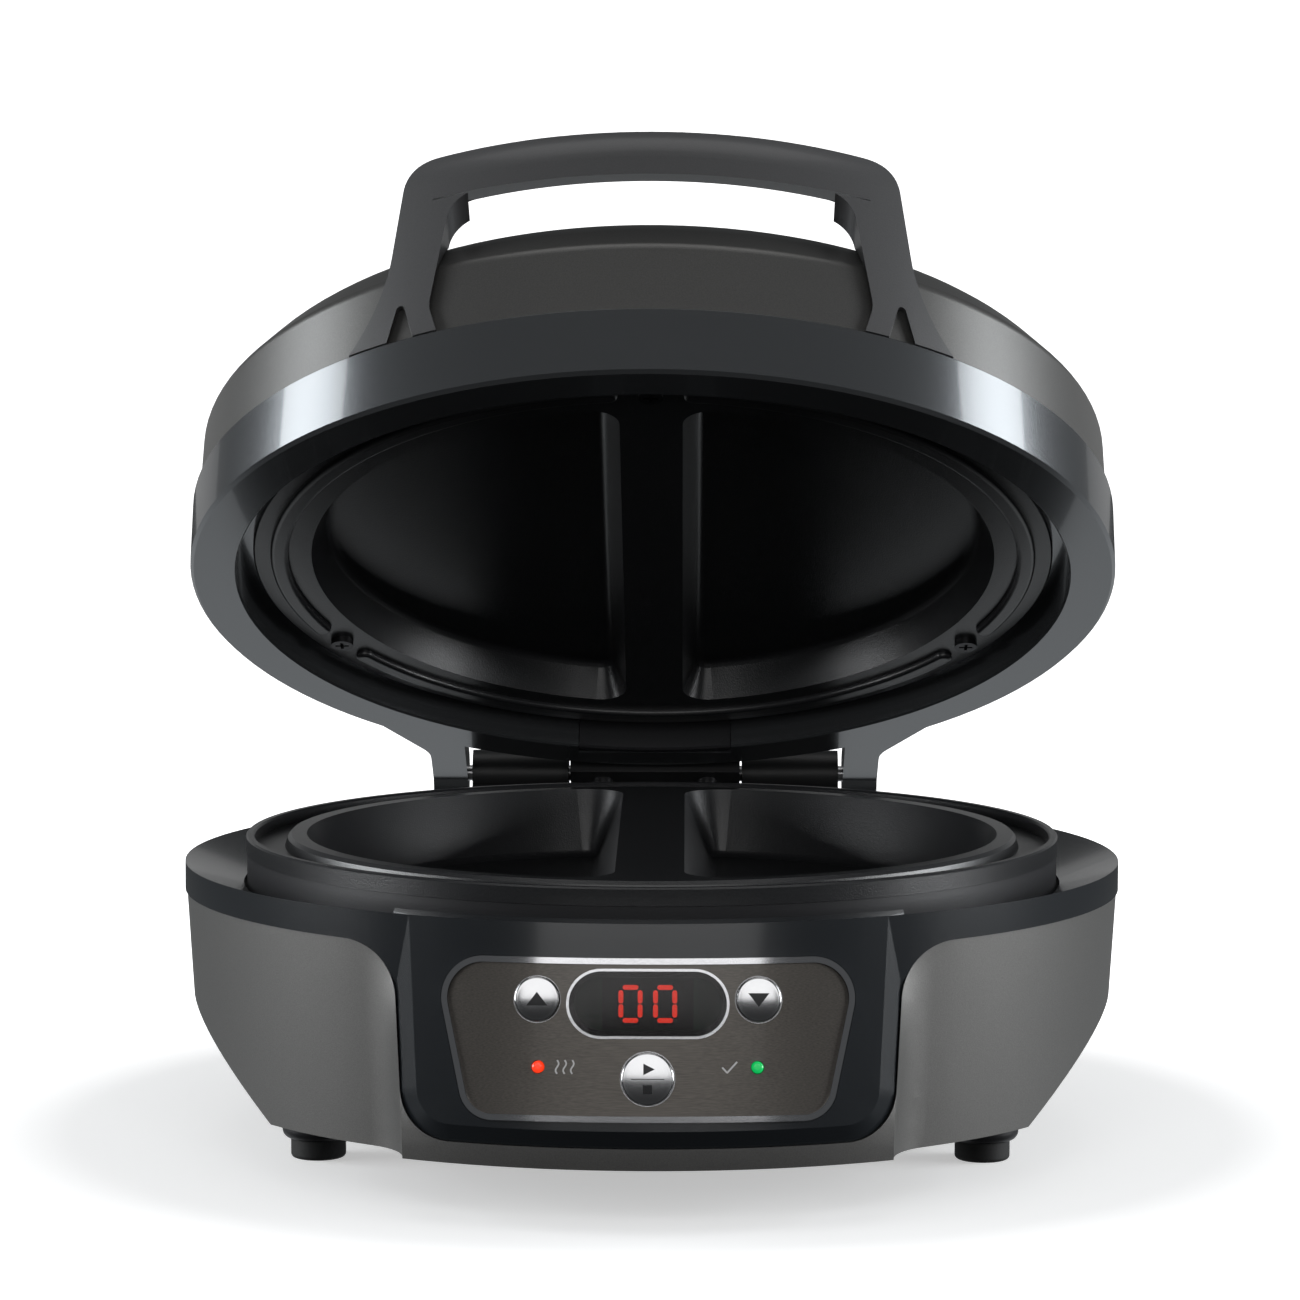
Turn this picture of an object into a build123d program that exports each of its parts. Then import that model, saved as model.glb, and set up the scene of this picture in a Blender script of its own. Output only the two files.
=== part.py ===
"""Round counter-top plate cooker with a hinged, heated lid and two half-round pockets.

Millimetres, +Z up, front towards -Y.  The origin is on the table, in the middle of the
object's footprint as it stands with the lid part open.  Two frames place every piece:
`base` stands on the table on the axis of the round body, and `lid` lies in the lid's rim
plane on the axis of the lid, turned about the hinge by the lid's opening angle.
"""
import os
from math import asin, atan, cos, degrees, radians, sin, sqrt, tan

from build123d import *

os.makedirs("parts", exist_ok=True)

# ---- overall sizes ---------------------------------------------------------------------
deck_radius = 135.0             # deck rim and lid band, outer
deck_rim_height = 80.6          # table to the deck rim
underside_height = 16.0         # table to the underside of the body
closed_rim_height = 81.0        # table to the rim plane of the closed lid
lid_opening = 29.7              # degrees that the lid stands open at rest
hinge_reach = 153.0             # body axis to the hinge axis
hinge_rise = 5.0                # closed rim plane to the hinge axis
knuckle_radius = 7.5            # round ends of every hinge leaf

# ---- clearances ------------------------------------------------------------------------
seam = 0.2                      # between fixed neighbours with curved faces
running_gap = 0.3               # between pieces that move past each other
shaft_clearance = 0.05          # radial, pin in a turning bore
press_clearance = 0.01          # radial, pin held in its bore
thread_clearance = 0.1          # radial, screw shank in its hole

# ---- body shell ------------------------------------------------------------------------
band_height = 8.1               # glossy band under the deck rim
body_inset = 0.5                # body wall behind the band at the top
body_bottom_radius = 131.0
body_wall = 2.5
floor_thickness = 5.0
side_foot_half_width = 104.5    # half width of the underside
side_break_height = 43.5        # where the side starts to turn in
side_break_radius = 6.0

# ---- control fascia --------------------------------------------------------------------
fascia_low_radius = 144.0       # body axis to the lower edge of the face
fascia_low_height = 27.0
fascia_bottom_height = 22.0
fascia_top_half_width = 68.3
fascia_bottom_half_width = 65.2
fascia_corner_radius = 13.0
fascia_flare_radius = 15.0      # round corners where the band turns down into the fascia
fascia_bevel_face = 5.0         # bevel round the face, along the face
fascia_bevel_depth = 3.4        # and into it
fascia_wall = 3.0
bay_width = 9.0                 # width of the hollow flare from body to bay
bay_lip = 1.0                   # shell lip in front of the back edge of the bevel

# ---- control panel ---------------------------------------------------------------------
panel_height = 51.5             # table to the panel centre
panel_half_height = 21.8
panel_top_half_width = 57.5
panel_bottom_half_width = 48.3
panel_top_corner = 11.0
panel_bottom_corner = 9.0
panel_top_dip = 1.3
panel_bottom_sag = 0.7
panel_thickness = 1.0
panel_proud = 0.3
bead_width = 1.6
bead_proud = 1.0
window_length = 41.6
window_height = 17.0
window_rise = 8.6               # panel centre to the display centre
trim_width = 0.7
digit_height = 9.9
digit_width = 6.3
digit_pitch = 9.1
bar_width = 1.25                # width of one lit bar
arrow_button_radius = 6.0
arrow_button_spread = 29.2
arrow_button_rise = 9.8
start_button_radius = 7.0
start_button_rise = -11.1
button_proud = 1.9
button_travel = 0.8
lamp_radius = 1.6
lamp_spread = 28.9
lamp_rise = -8.0
board_depth = 14.0              # panel face to the front of the control board
board_half_width = 44.0
board_half_height = 18.6
board_drop = 3.0                # board centre below the panel centre
board_thickness = 1.6

# ---- cooking plates --------------------------------------------------------------------
plate_radius = 117.5
plate_top_height = 87.7
plate_edge_height = 5.0         # upright edge of the lower plate
plate_wall = 2.5
rim_bead_width = 2.5
channel_inner_radius = 105.5
channel_depth = 3.6
pocket_radius = 100.0
pocket_corner = 9.0
pocket_draft = 22.0
lower_pocket_depth = 20.0
upper_pocket_depth = 11.0
lower_divider = 19.0
upper_divider = 17.5
pocket_floor_round = 3.0
plate_screw_radius = 109.3      # pitch radius of the three screws of the upper plate
element_radius = 78.0
element_tube_radius = 3.2
shield_sheet = 0.8
shield_radius = 104.0

# ---- lid -------------------------------------------------------------------------------
lid_band_height = 19.7
lid_rim_inner_radius = 121.5
lid_rim_sheet = 2.5
upper_plate_recess = 7.0        # rim plane back to the face of the upper plate
upper_plate_radius = 117.0
crimp_height = 1.8              # raised bead that drops into the channel of the lower plate
crimp_inner_radius = 106.6
crimp_outer_radius = 112.0
crimp_break = 9.0               # gap in the bead at each screw, either side
dome_foot_radius = 133.2
dome_edge_radius = 132.6
dome_edge_height = 40.5
dome_shoulder_radius = 119.0
dome_shoulder_height = 56.0
dome_height = 65.0
dome_shoulder_round = 26.0
dome_edge_round = 4.0
dome_sheet = 1.8

# ---- handle ----------------------------------------------------------------------------
handle_front_radius = 134.9
handle_depth = 14.5             # front to back of the grip
handle_top_height = 78.6
handle_grip_height = 17.6
handle_crease = 12.0            # rounded upper part of the grip, above the crease
crown_setback = 7.4             # front of the grip back to the start of its flat top
crown_middle_setback = 2.3      # the round between crease and top, half way up
crown_middle_rise = 7.4
handle_back_bevel = 3.5
handle_top_half_width = 67.0
handle_waist_half_width = 71.5
handle_foot_half_width = 83.0
handle_leg_width = 12.0
handle_outer_corner = 15.0
handle_inner_corner = 8.5

# ---- hinge -----------------------------------------------------------------------------
pin_radius = 2.5
tongue_half_width = 27.0
leaf_gap = 0.8
block_outer = 58.6
lug_inner = 60.0
lug_outer = 71.0
pin_inner_end = 20.0
bracket_screw_spread = 16.6
bracket_screw_reach = 143.5
bracket_screw_places = [(x * bracket_screw_spread, bracket_screw_reach) for x in (-1, 1)]

# ---- feet ------------------------------------------------------------------------------
foot_spread = 94.0
foot_reach = 43.0
foot_radius = 10.2
foot_pad_radius = 7.8
foot_pad_height = 5.6

# ---- frames ----------------------------------------------------------------------------
rear_reach = hinge_reach + knuckle_radius
front_reach = fascia_low_radius + 0.82    # the start button's cap stands furthest forward
body_axis_y = (front_reach - rear_reach) / 2
hinge_y = body_axis_y + hinge_reach
hinge_z = closed_rim_height + hinge_rise
turn = radians(lid_opening)

base = Plane(origin=(0, body_axis_y, 0), x_dir=(1, 0, 0), z_dir=(0, 0, 1))
lid = Plane(
    origin=(
        0,
        hinge_y - hinge_reach * cos(turn) - hinge_rise * sin(turn),
        hinge_z + hinge_reach * sin(turn) - hinge_rise * cos(turn),
    ),
    x_dir=(1, 0, 0),
    z_dir=(0, sin(turn), cos(turn)),
)


def upright(frame):
    """Front view through a frame's axis: local x to the right, local y up, facing the front."""
    return Plane(origin=frame.origin, x_dir=frame.x_dir, z_dir=-frame.y_dir)


def side_view(frame, x=0.0):
    """Side view at a distance x from a frame's axis: local x to the rear, local y up."""
    return Plane(origin=frame.origin + frame.x_dir * x, x_dir=frame.y_dir, z_dir=frame.x_dir)


def spin(frame):
    """The frame's own upright axis."""
    return Axis(frame.origin, frame.z_dir)


def section(frame, *points):
    """A half section with straight sides, from (radius, height) points."""
    with BuildSketch(upright(frame)) as outline:
        with BuildLine():
            Polyline(*points, close=True)
        make_face()
    return outline.sketch


# ---- shapes that several pieces share --------------------------------------------------
band_bottom_height = deck_rim_height - band_height
body_top_radius = deck_radius - body_inset
fascia_slope = (fascia_low_radius - deck_radius) / (deck_rim_height - fascia_low_height)
fascia_lean = atan(fascia_slope)


def body_radius(height):
    """Outer radius of the body wall, which draws in a little towards the table."""
    share = (height - underside_height) / (band_bottom_height - underside_height)
    return body_bottom_radius + (body_top_radius - body_bottom_radius) * share


def fascia_radius(height):
    """Radius of the fascia's face, a cone that leans out towards the table."""
    return deck_radius + (deck_rim_height - height) * fascia_slope


def fascia_half_width(height):
    """Half width of the fascia, which narrows towards the table."""
    share = (height - fascia_bottom_height) / (band_bottom_height - fascia_bottom_height)
    return fascia_bottom_half_width + (fascia_top_half_width - fascia_bottom_half_width) * share


def bay_radius(height):
    """Radius of the shell's lip round the fascia."""
    back_of_bevel = fascia_radius(max(height, fascia_low_height)) - fascia_bevel_depth
    return max(back_of_bevel + bay_lip, body_radius(height) + 2 * seam)


def rounded_outline(plane, half_points, radii):
    """A symmetrical outline from its right half, listed upwards, with a radius per corner."""
    mirrored = [(-x, y) for x, y in reversed(half_points)]
    with BuildSketch(plane) as outline:
        with BuildLine():
            FilletPolyline(*half_points, *mirrored, radius=[*radii, *reversed(radii)], close=True)
        make_face()
    return outline.sketch


def body_plan(height):
    """Plan of the body: a circle whose front flares out into a bay for the fascia."""
    radius, bay = body_radius(height), bay_radius(height)
    half = fascia_half_width(max(height, fascia_bottom_height)) + seam
    corner = (half, -sqrt(bay**2 - half**2))
    landing = (half + bay_width, -sqrt(radius**2 - (half + bay_width) ** 2))
    bay_turn = degrees(asin(half / bay))
    body_turn = degrees(asin(landing[0] / radius))
    with BuildSketch(base.offset(height)) as plan:
        with BuildLine():
            CenterArc((0, 0), bay, -90, bay_turn)
            TangentArc(landing, corner, tangent=(landing[1], -landing[0]))
            CenterArc((0, 0), radius, body_turn - 90, 180 - body_turn)
            mirror(about=Plane.YZ)
        make_face()
    return plan.sketch


def side_outline(inset):
    """Front view of the body: upright sides that turn in to a narrower underside."""
    foot = side_foot_half_width - inset
    wall = body_radius(side_break_height) + 2 * seam - inset
    bottom = underside_height + (floor_thickness if inset else -1.0)
    slope = (wall - side_foot_half_width + inset) / (side_break_height - underside_height)
    points = [
        (foot + slope * (bottom - underside_height), bottom),
        (wall, side_break_height),
        (wall + 2.0, deck_rim_height),
    ]
    return rounded_outline(upright(base), points, [5.0 if not inset else 2.0, side_break_radius, 0])


def fascia_outline(grow, flared):
    """Front view of the fascia; flared, it turns outwards under the band at the top."""
    low, high = fascia_bottom_height - grow, band_bottom_height
    top_half = fascia_top_half_width + grow
    points = [(fascia_bottom_half_width + grow, low)]
    radii = [fascia_corner_radius + grow]
    if flared:
        points += [(top_half, high), (top_half + 2 * fascia_flare_radius, high)]
        points += [(top_half + 2 * fascia_flare_radius, high + band_height)]
        radii += [fascia_flare_radius, 0, 0]
    else:
        points += [(top_half, high + band_height)]
        radii += [0]
    return rounded_outline(upright(base), points, radii)


def fascia_sheet(behind, before, low=fascia_bottom_height, high=deck_rim_height):
    """Half section of a sheet that follows the fascia's cone, from behind its face to before it."""
    return section(
        base,
        (fascia_radius(low) - behind, low),
        (fascia_radius(low) + before, low),
        (fascia_radius(high) + before, high),
        (fascia_radius(high) - behind, high),
    )


# Plane on the fascia's face at the panel centre: local x to the right, local y up the face.
face = Plane(
    origin=(0, body_axis_y - fascia_radius(panel_height), panel_height),
    x_dir=(1, 0, 0),
    z_dir=(0, -cos(fascia_lean), sin(fascia_lean)),
)


def face_setback(x):
    """How far the round face falls behind the flat face plane at a distance x from the middle."""
    radius = fascia_radius(panel_height)
    return radius - sqrt(radius**2 - x**2)


def panel_outline(inset):
    """Outline of the control panel: wider at the top, with a dipped top and a sagging bottom."""
    top, bottom = panel_half_height, -panel_half_height
    left_top, right_top = (-panel_top_half_width, top), (panel_top_half_width, top)
    left_bottom, right_bottom = (-panel_bottom_half_width, bottom), (panel_bottom_half_width, bottom)
    with BuildSketch(face) as outline:
        with BuildLine():
            ThreePointArc(left_top, (0, top - panel_top_dip), right_top)
            Line(right_top, right_bottom)
            ThreePointArc(right_bottom, (0, bottom - panel_bottom_sag), left_bottom)
            Line(left_bottom, left_top)
        make_face()
        fillet(outline.vertices().group_by(Axis.Y)[-1], panel_top_corner)
        fillet(outline.vertices().group_by(Axis.Y)[0], panel_bottom_corner)
        if inset:
            offset(amount=-inset)
    return outline.sketch


def window_outline(inset):
    """Round-ended outline of the display window."""
    with BuildSketch(face) as outline:
        with Locations((0, window_rise)):
            SlotOverall(window_length - 2 * inset, window_height - 2 * inset)
    return outline.sketch


def face_circles(radius, *centres, depth=0.0):
    """Circles on the face plane, or a depth behind it."""
    with BuildSketch(face.offset(-depth)) as circles:
        with Locations(*centres):
            Circle(radius)
    return circles.sketch


arrow_centres = [(-arrow_button_spread, arrow_button_rise), (arrow_button_spread, arrow_button_rise)]
start_centre = (0, start_button_rise)
lamp_centres = [(-lamp_spread, lamp_rise), (lamp_spread, lamp_rise)]
board_corners = [
    (x * (board_half_width - 4), y * (board_half_height - 4) - board_drop)
    for x in (-1, 1)
    for y in (-1, 1)
]
sheet_reach = 40.0              # enough to pass through the fascia from the face plane


def screws(seats, head_radius, head_height, shank_radius, shank_length):
    """Cross-head screws; each seat is a plane under the head, facing out of the work."""
    with BuildPart() as group:
        for seat in seats:
            with BuildSketch(seat):
                Circle(head_radius)
            extrude(amount=head_height)
            with BuildSketch(seat):
                Circle(shank_radius)
            extrude(amount=-shank_length)
        for seat in seats:
            with BuildSketch(seat.offset(head_height)):
                Rectangle(head_radius * 1.2, head_radius * 0.28)
                Rectangle(head_radius * 0.28, head_radius * 1.2)
            extrude(amount=-head_height * 0.6, mode=Mode.SUBTRACT)
    return group.part


def around(frame, height, radius, *angles):
    """Planes at a height and radius round a frame's axis, facing along the axis."""
    places = []
    for angle in angles:
        out = frame.x_dir * (radius * cos(radians(angle))) + frame.y_dir * (radius * sin(radians(angle)))
        centre = frame.offset(height).origin + out
        places.append(Plane(origin=centre, x_dir=frame.x_dir, z_dir=frame.z_dir))
    return places


def facing_down(planes):
    """The same places, turned over."""
    return [Plane(origin=p.origin, x_dir=p.x_dir, z_dir=-p.z_dir) for p in planes]


# ---- base shell ------------------------------------------------------------------------
# Pressed side wall with a floor, open at the top; its front bay flares out round the fascia.
base_screw_angles = (60, 120, 240, 300)
base_screw_radius = 123.0
post_radius = 4.5
cover_half_width = 78.0
cover_half_depth = 92.0
cover_corner = 24.0
cover_lap = 5.0
cover_thickness = 2.2
hinge_screw_spread = 14.0
hinge_screw_heights = (54.0, 61.0)
hinge_boss_radius = 4.5
shank_radius = 1.6
head_radius = 3.1
head_height = 2.0
small_shank_radius = 1.2
small_head_radius = 2.6
small_head_height = 1.6
tab_width = 4.8                 # push-on tabs of the thermostats
tab_thickness = 0.8

hinge_screw_places = [(x * hinge_screw_spread, z) for x in (-1, 1) for z in hinge_screw_heights]
hinge_boss_depth = 4.0
hinge_wall_front = Plane(
    origin=(0, body_axis_y + body_radius(60.0) - body_wall - hinge_boss_depth, 0),
    x_dir=(1, 0, 0),
    z_dir=(0, -1, 0),
)
gland_height = 34.0
gland_radius = 6.0
gland_plane = Plane(
    origin=(0, body_axis_y + body_radius(gland_height), gland_height), x_dir=(-1, 0, 0), z_dir=(0, 1, 0)
)
foot_places = [(x * foot_spread, y * foot_reach) for x in (-1, 1) for y in (-1, 1)]
cover_screw_places = [
    (x * (cover_half_width - cover_corner + 15.2), y * (cover_half_depth - cover_corner + 15.2))
    for x in (-1, 1)
    for y in (-1, 1)
]

with BuildPart() as shell_hollow:
    with BuildSketch(upright(base)):
        with BuildLine():
            Polyline(
                (0, underside_height + floor_thickness),
                (body_radius(underside_height) - body_wall, underside_height + floor_thickness),
                (body_radius(deck_rim_height) - body_wall, deck_rim_height),
                (0, deck_rim_height),
                close=True,
            )
        make_face()
    revolve(axis=spin(base))
    extrude(side_outline(body_wall), amount=deck_radius * 2, both=True, mode=Mode.INTERSECT)

with BuildPart() as base_shell:
    loft([body_plan(h) for h in (underside_height, fascia_low_height, 46.0, 60.0, band_bottom_height)])
    extrude(side_outline(0), amount=deck_radius * 2, both=True, mode=Mode.INTERSECT)
    add(shell_hollow.part, mode=Mode.SUBTRACT)
    extrude(fascia_outline(seam, True), amount=fascia_low_radius + 10, mode=Mode.SUBTRACT)
    with BuildSketch(base.offset(underside_height)):
        RectangleRounded(
            2 * (cover_half_width + seam), 2 * (cover_half_depth + seam), cover_corner + seam
        )
    extrude(amount=cover_thickness + seam, mode=Mode.SUBTRACT)
    with BuildSketch(base.offset(underside_height)):
        RectangleRounded(
            2 * (cover_half_width - cover_lap), 2 * (cover_half_depth - cover_lap), cover_corner - cover_lap
        )
    extrude(amount=floor_thickness, mode=Mode.SUBTRACT)
    with BuildSketch(hinge_wall_front):
        with Locations(*hinge_screw_places):
            Circle(hinge_boss_radius)
    extrude(amount=-hinge_boss_depth - 1)
    with BuildSketch(hinge_wall_front):
        with Locations(*hinge_screw_places):
            Circle(shank_radius + thread_clearance)
    extrude(amount=2 * hinge_boss_depth, both=True, mode=Mode.SUBTRACT)
    with BuildSketch(gland_plane):
        Circle(gland_radius + thread_clearance)
    extrude(amount=2 * body_wall + 6, both=True, mode=Mode.SUBTRACT)
    for hole in around(base, underside_height, base_screw_radius, *base_screw_angles):
        with BuildSketch(hole):
            Circle(head_radius + seam)
        extrude(amount=head_height + seam, mode=Mode.SUBTRACT)
        with BuildSketch(hole):
            Circle(shank_radius + thread_clearance)
        extrude(amount=floor_thickness, mode=Mode.SUBTRACT)
    with BuildSketch(base.offset(underside_height)):
        with Locations(*foot_places, *cover_screw_places):
            Circle(shank_radius + thread_clearance)
    extrude(amount=floor_thickness - 0.8, mode=Mode.SUBTRACT)
base_shell.part.label = "base_shell"
export_step(base_shell.part, "parts/base_shell.step")

# ---- deck and fascia -------------------------------------------------------------------
# One moulding: the dished deck round the plate, the band under its rim, and the fascia.
collar_radius = plate_radius - 0.3
collar_wall = 2.5
collar_ledge_top = 73.4
collar_ledge = 2.4
collar_flange_top = 70.7
collar_screw_radius = 122.3
collar_screw_angles = (45, 135, 225, 315)
deck_inner_radius = collar_radius + 1.0
deck_inner_height = 74.0
deck_wall = 3.0
locating_lip = 6.0
lip_outer = body_radius(band_bottom_height - locating_lip) - body_wall - seam
fascia_block = 8.0
fascia_inner_low = fascia_bottom_height + 3.0
fascia_inner_half_width = fascia_bottom_half_width - fascia_bevel_face

with BuildPart() as fascia_hollow:
    revolve(
        section(
            base,
            (fascia_radius(fascia_inner_low) - 26, fascia_inner_low),
            (fascia_radius(fascia_inner_low) - fascia_wall - 2, fascia_inner_low),
            (fascia_radius(fascia_low_height + 6) - fascia_wall, fascia_low_height + 6),
            (fascia_radius(band_bottom_height) - fascia_wall, band_bottom_height),
            (fascia_radius(band_bottom_height) - 26, band_bottom_height),
        ),
        axis=spin(base),
    )
    with BuildSketch(upright(base)):
        with Locations((0, deck_rim_height / 2)):
            Rectangle(2 * fascia_inner_half_width, deck_rim_height)
    extrude(amount=fascia_low_radius + 10, mode=Mode.INTERSECT)

with BuildPart() as flare_web:
    extrude(fascia_outline(0, True), amount=fascia_low_radius + 10)
    web_low = band_bottom_height - fascia_flare_radius - 2
    revolve(
        section(
            base,
            (deck_radius - deck_wall, web_low),
            (deck_radius, web_low),
            (deck_radius, band_bottom_height + 1),
            (deck_radius - deck_wall, band_bottom_height + 1),
        ),
        axis=spin(base),
        mode=Mode.INTERSECT,
    )

with BuildPart() as panel_recess:
    extrude(panel_outline(-seam), amount=sheet_reach, both=True)
    revolve(fascia_sheet(panel_thickness - panel_proud, 5), axis=spin(base), mode=Mode.INTERSECT)

with BuildPart() as deck_fascia:
    extrude(fascia_outline(0, False), amount=fascia_low_radius + 10)
    revolve(fascia_sheet(fascia_block, 0), axis=spin(base), mode=Mode.INTERSECT)
    front = deck_fascia.faces().sort_by(Axis.Y)[0]
    chamfer(front.edges().sort_by(Axis.Z)[:-1], fascia_bevel_face, fascia_bevel_depth, reference=front)
    add(flare_web.part)
    revolve(
        section(
            base,
            (deck_inner_radius, deck_inner_height),
            (deck_radius, deck_rim_height),
            (deck_radius, band_bottom_height),
            (lip_outer, band_bottom_height),
            (lip_outer, band_bottom_height - locating_lip),
            (lip_outer - 2.4, band_bottom_height - locating_lip),
            (lip_outer - 2.4, deck_inner_height + 1.2),
            (deck_inner_radius, deck_inner_height - deck_wall),
        ),
        axis=spin(base),
    )
    for post in around(base, underside_height + floor_thickness, base_screw_radius, *base_screw_angles):
        with BuildSketch(post):
            Circle(post_radius)
        extrude(amount=deck_inner_height - underside_height - floor_thickness + 1)
    for boss in around(base, collar_flange_top, collar_screw_radius, *collar_screw_angles):
        with BuildSketch(boss):
            Circle(post_radius - 1)
        extrude(amount=deck_inner_height - collar_flange_top)
    add(fascia_hollow.part, mode=Mode.SUBTRACT)
    for post in around(base, underside_height + floor_thickness, base_screw_radius, *base_screw_angles):
        with BuildSketch(post):
            Circle(shank_radius + thread_clearance)
        extrude(amount=12, mode=Mode.SUBTRACT)
    for boss in around(base, collar_flange_top, collar_screw_radius, *collar_screw_angles):
        with BuildSketch(boss):
            Circle(small_shank_radius + thread_clearance)
        extrude(amount=4.5, mode=Mode.SUBTRACT)
    with BuildSketch(face.offset(-board_depth)):
        with Locations(*board_corners):
            Circle(3.2)
    extrude(amount=board_depth - face_setback(board_half_width - 4) - fascia_wall / 2)
    with BuildSketch(face.offset(-board_depth)):
        with Locations(*board_corners):
            Circle(small_shank_radius + thread_clearance)
    extrude(amount=5, mode=Mode.SUBTRACT)
    add(panel_recess.part, mode=Mode.SUBTRACT)
    extrude(window_outline(1.5), amount=sheet_reach, both=True, mode=Mode.SUBTRACT)
    extrude(face_circles(arrow_button_radius + running_gap, *arrow_centres), amount=sheet_reach, both=True,
            mode=Mode.SUBTRACT)
    extrude(face_circles(start_button_radius + running_gap, start_centre), amount=sheet_reach, both=True,
            mode=Mode.SUBTRACT)
    extrude(face_circles(lamp_radius + seam, *lamp_centres), amount=sheet_reach, both=True,
            mode=Mode.SUBTRACT)
deck_fascia.part.label = "deck_fascia"
export_step(deck_fascia.part, "parts/deck_fascia.step")

# ---- control panel ---------------------------------------------------------------------
# Brushed plate bent to the fascia's cone, framed by a bead, with a display window and lamps.
bead_inner = bead_width + 0.05
with BuildPart() as control_panel:
    extrude(panel_outline(bead_inner), amount=sheet_reach, both=True)
    revolve(fascia_sheet(panel_thickness - panel_proud - 0.05, panel_proud), axis=spin(base),
            mode=Mode.INTERSECT)
    extrude(window_outline(-trim_width - 0.05), amount=sheet_reach, both=True, mode=Mode.SUBTRACT)
    extrude(face_circles(arrow_button_radius + running_gap, *arrow_centres), amount=sheet_reach, both=True,
            mode=Mode.SUBTRACT)
    extrude(face_circles(start_button_radius + running_gap, start_centre), amount=sheet_reach, both=True,
            mode=Mode.SUBTRACT)
    extrude(face_circles(lamp_radius + seam, *lamp_centres), amount=sheet_reach, both=True,
            mode=Mode.SUBTRACT)
control_panel.part.label = "control_panel"
export_step(control_panel.part, "parts/control_panel.step")

with BuildPart() as panel_bead:
    extrude(panel_outline(0), amount=sheet_reach, both=True)
    extrude(panel_outline(bead_width), amount=sheet_reach, both=True, mode=Mode.SUBTRACT)
    revolve(fascia_sheet(panel_thickness - panel_proud - 0.05, bead_proud), axis=spin(base),
            mode=Mode.INTERSECT)
panel_bead.part.label = "panel_bead"
export_step(panel_bead.part, "parts/panel_bead.step")

with BuildPart() as window_trim:
    extrude(window_outline(-trim_width), amount=sheet_reach, both=True)
    extrude(window_outline(0), amount=sheet_reach, both=True, mode=Mode.SUBTRACT)
    revolve(fascia_sheet(panel_thickness - panel_proud - 0.05, panel_proud + 0.3), axis=spin(base),
            mode=Mode.INTERSECT)
window_trim.part.label = "window_trim"
export_step(window_trim.part, "parts/window_trim.step")

with BuildPart() as display_window:
    extrude(window_outline(0.05), amount=sheet_reach, both=True)
    revolve(fascia_sheet(panel_thickness - panel_proud - 0.05, panel_proud), axis=spin(base),
            mode=Mode.INTERSECT)
display_window.part.label = "display_window"
export_step(display_window.part, "parts/display_window.step")

# ---- display, board and switches -------------------------------------------------------
module_length = 24.0
module_height = 13.6
module_front = 1.9              # behind the face plane
segment_relief = 0.25
switch_height = 2.8
switch_side = 6.0
plunger_height = 0.8

with BuildPart() as display_module:
    with BuildSketch(face.offset(-board_depth)):
        with Locations((0, window_rise)):
            Rectangle(module_length, module_height)
    extrude(amount=board_depth - module_front)
display_module.part.label = "display_module"
export_step(display_module.part, "parts/display_module.step")

bar_gap = 0.25
upright_bar = digit_height / 2 - bar_width - bar_gap
level_bar = digit_width - 2 * bar_width - 2 * bar_gap + 0.8
bar_side = (digit_width - bar_width) / 2
bar_top = (digit_height - bar_width) / 2
bar_rise = upright_bar / 2 + bar_gap / 2
with BuildPart() as display_segments:
    with BuildSketch(face.offset(-module_front)):
        for digit in (-digit_pitch / 2, digit_pitch / 2):
            with Locations((digit, window_rise - bar_top), (digit, window_rise + bar_top)):
                SlotOverall(level_bar, bar_width)
            with Locations(
                *[(digit + x * bar_side, window_rise + y * bar_rise) for x in (-1, 1) for y in (-1, 1)]
            ):
                SlotOverall(upright_bar, bar_width, rotation=90)
    extrude(amount=segment_relief)
display_segments.part.label = "display_segments"
export_step(display_segments.part, "parts/display_segments.step")

with BuildPart() as control_board:
    with BuildSketch(face.offset(-board_depth)):
        with Locations((0, -board_drop)):
            RectangleRounded(2 * board_half_width, 2 * board_half_height, 3)
        with Locations(*board_corners):
            Circle(small_shank_radius + thread_clearance, mode=Mode.SUBTRACT)
    extrude(amount=-board_thickness)
control_board.part.label = "control_board"
export_step(control_board.part, "parts/control_board.step")

with BuildPart() as tact_switches:
    with BuildSketch(face.offset(-board_depth)):
        with Locations(*arrow_centres, start_centre):
            Rectangle(switch_side, switch_side)
    extrude(amount=switch_height - plunger_height)
    with BuildSketch(face.offset(-board_depth)):
        with Locations(*arrow_centres, start_centre):
            Circle(switch_side / 4)
    extrude(amount=switch_height)
tact_switches.part.label = "tact_switches"
export_step(tact_switches.part, "parts/tact_switches.step")

board_back = Plane(
    origin=face.offset(-board_depth - board_thickness).origin, x_dir=face.x_dir, z_dir=-face.z_dir
)
board_seats = [
    Plane(origin=board_back.from_local_coords((x, -y, 0)), x_dir=board_back.x_dir, z_dir=board_back.z_dir)
    for x, y in board_corners
]
board_screws = screws(board_seats, small_head_radius, small_head_height, small_shank_radius, 6.0)
board_screws.label = "board_screws"
export_step(board_screws, "parts/board_screws.step")


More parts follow.
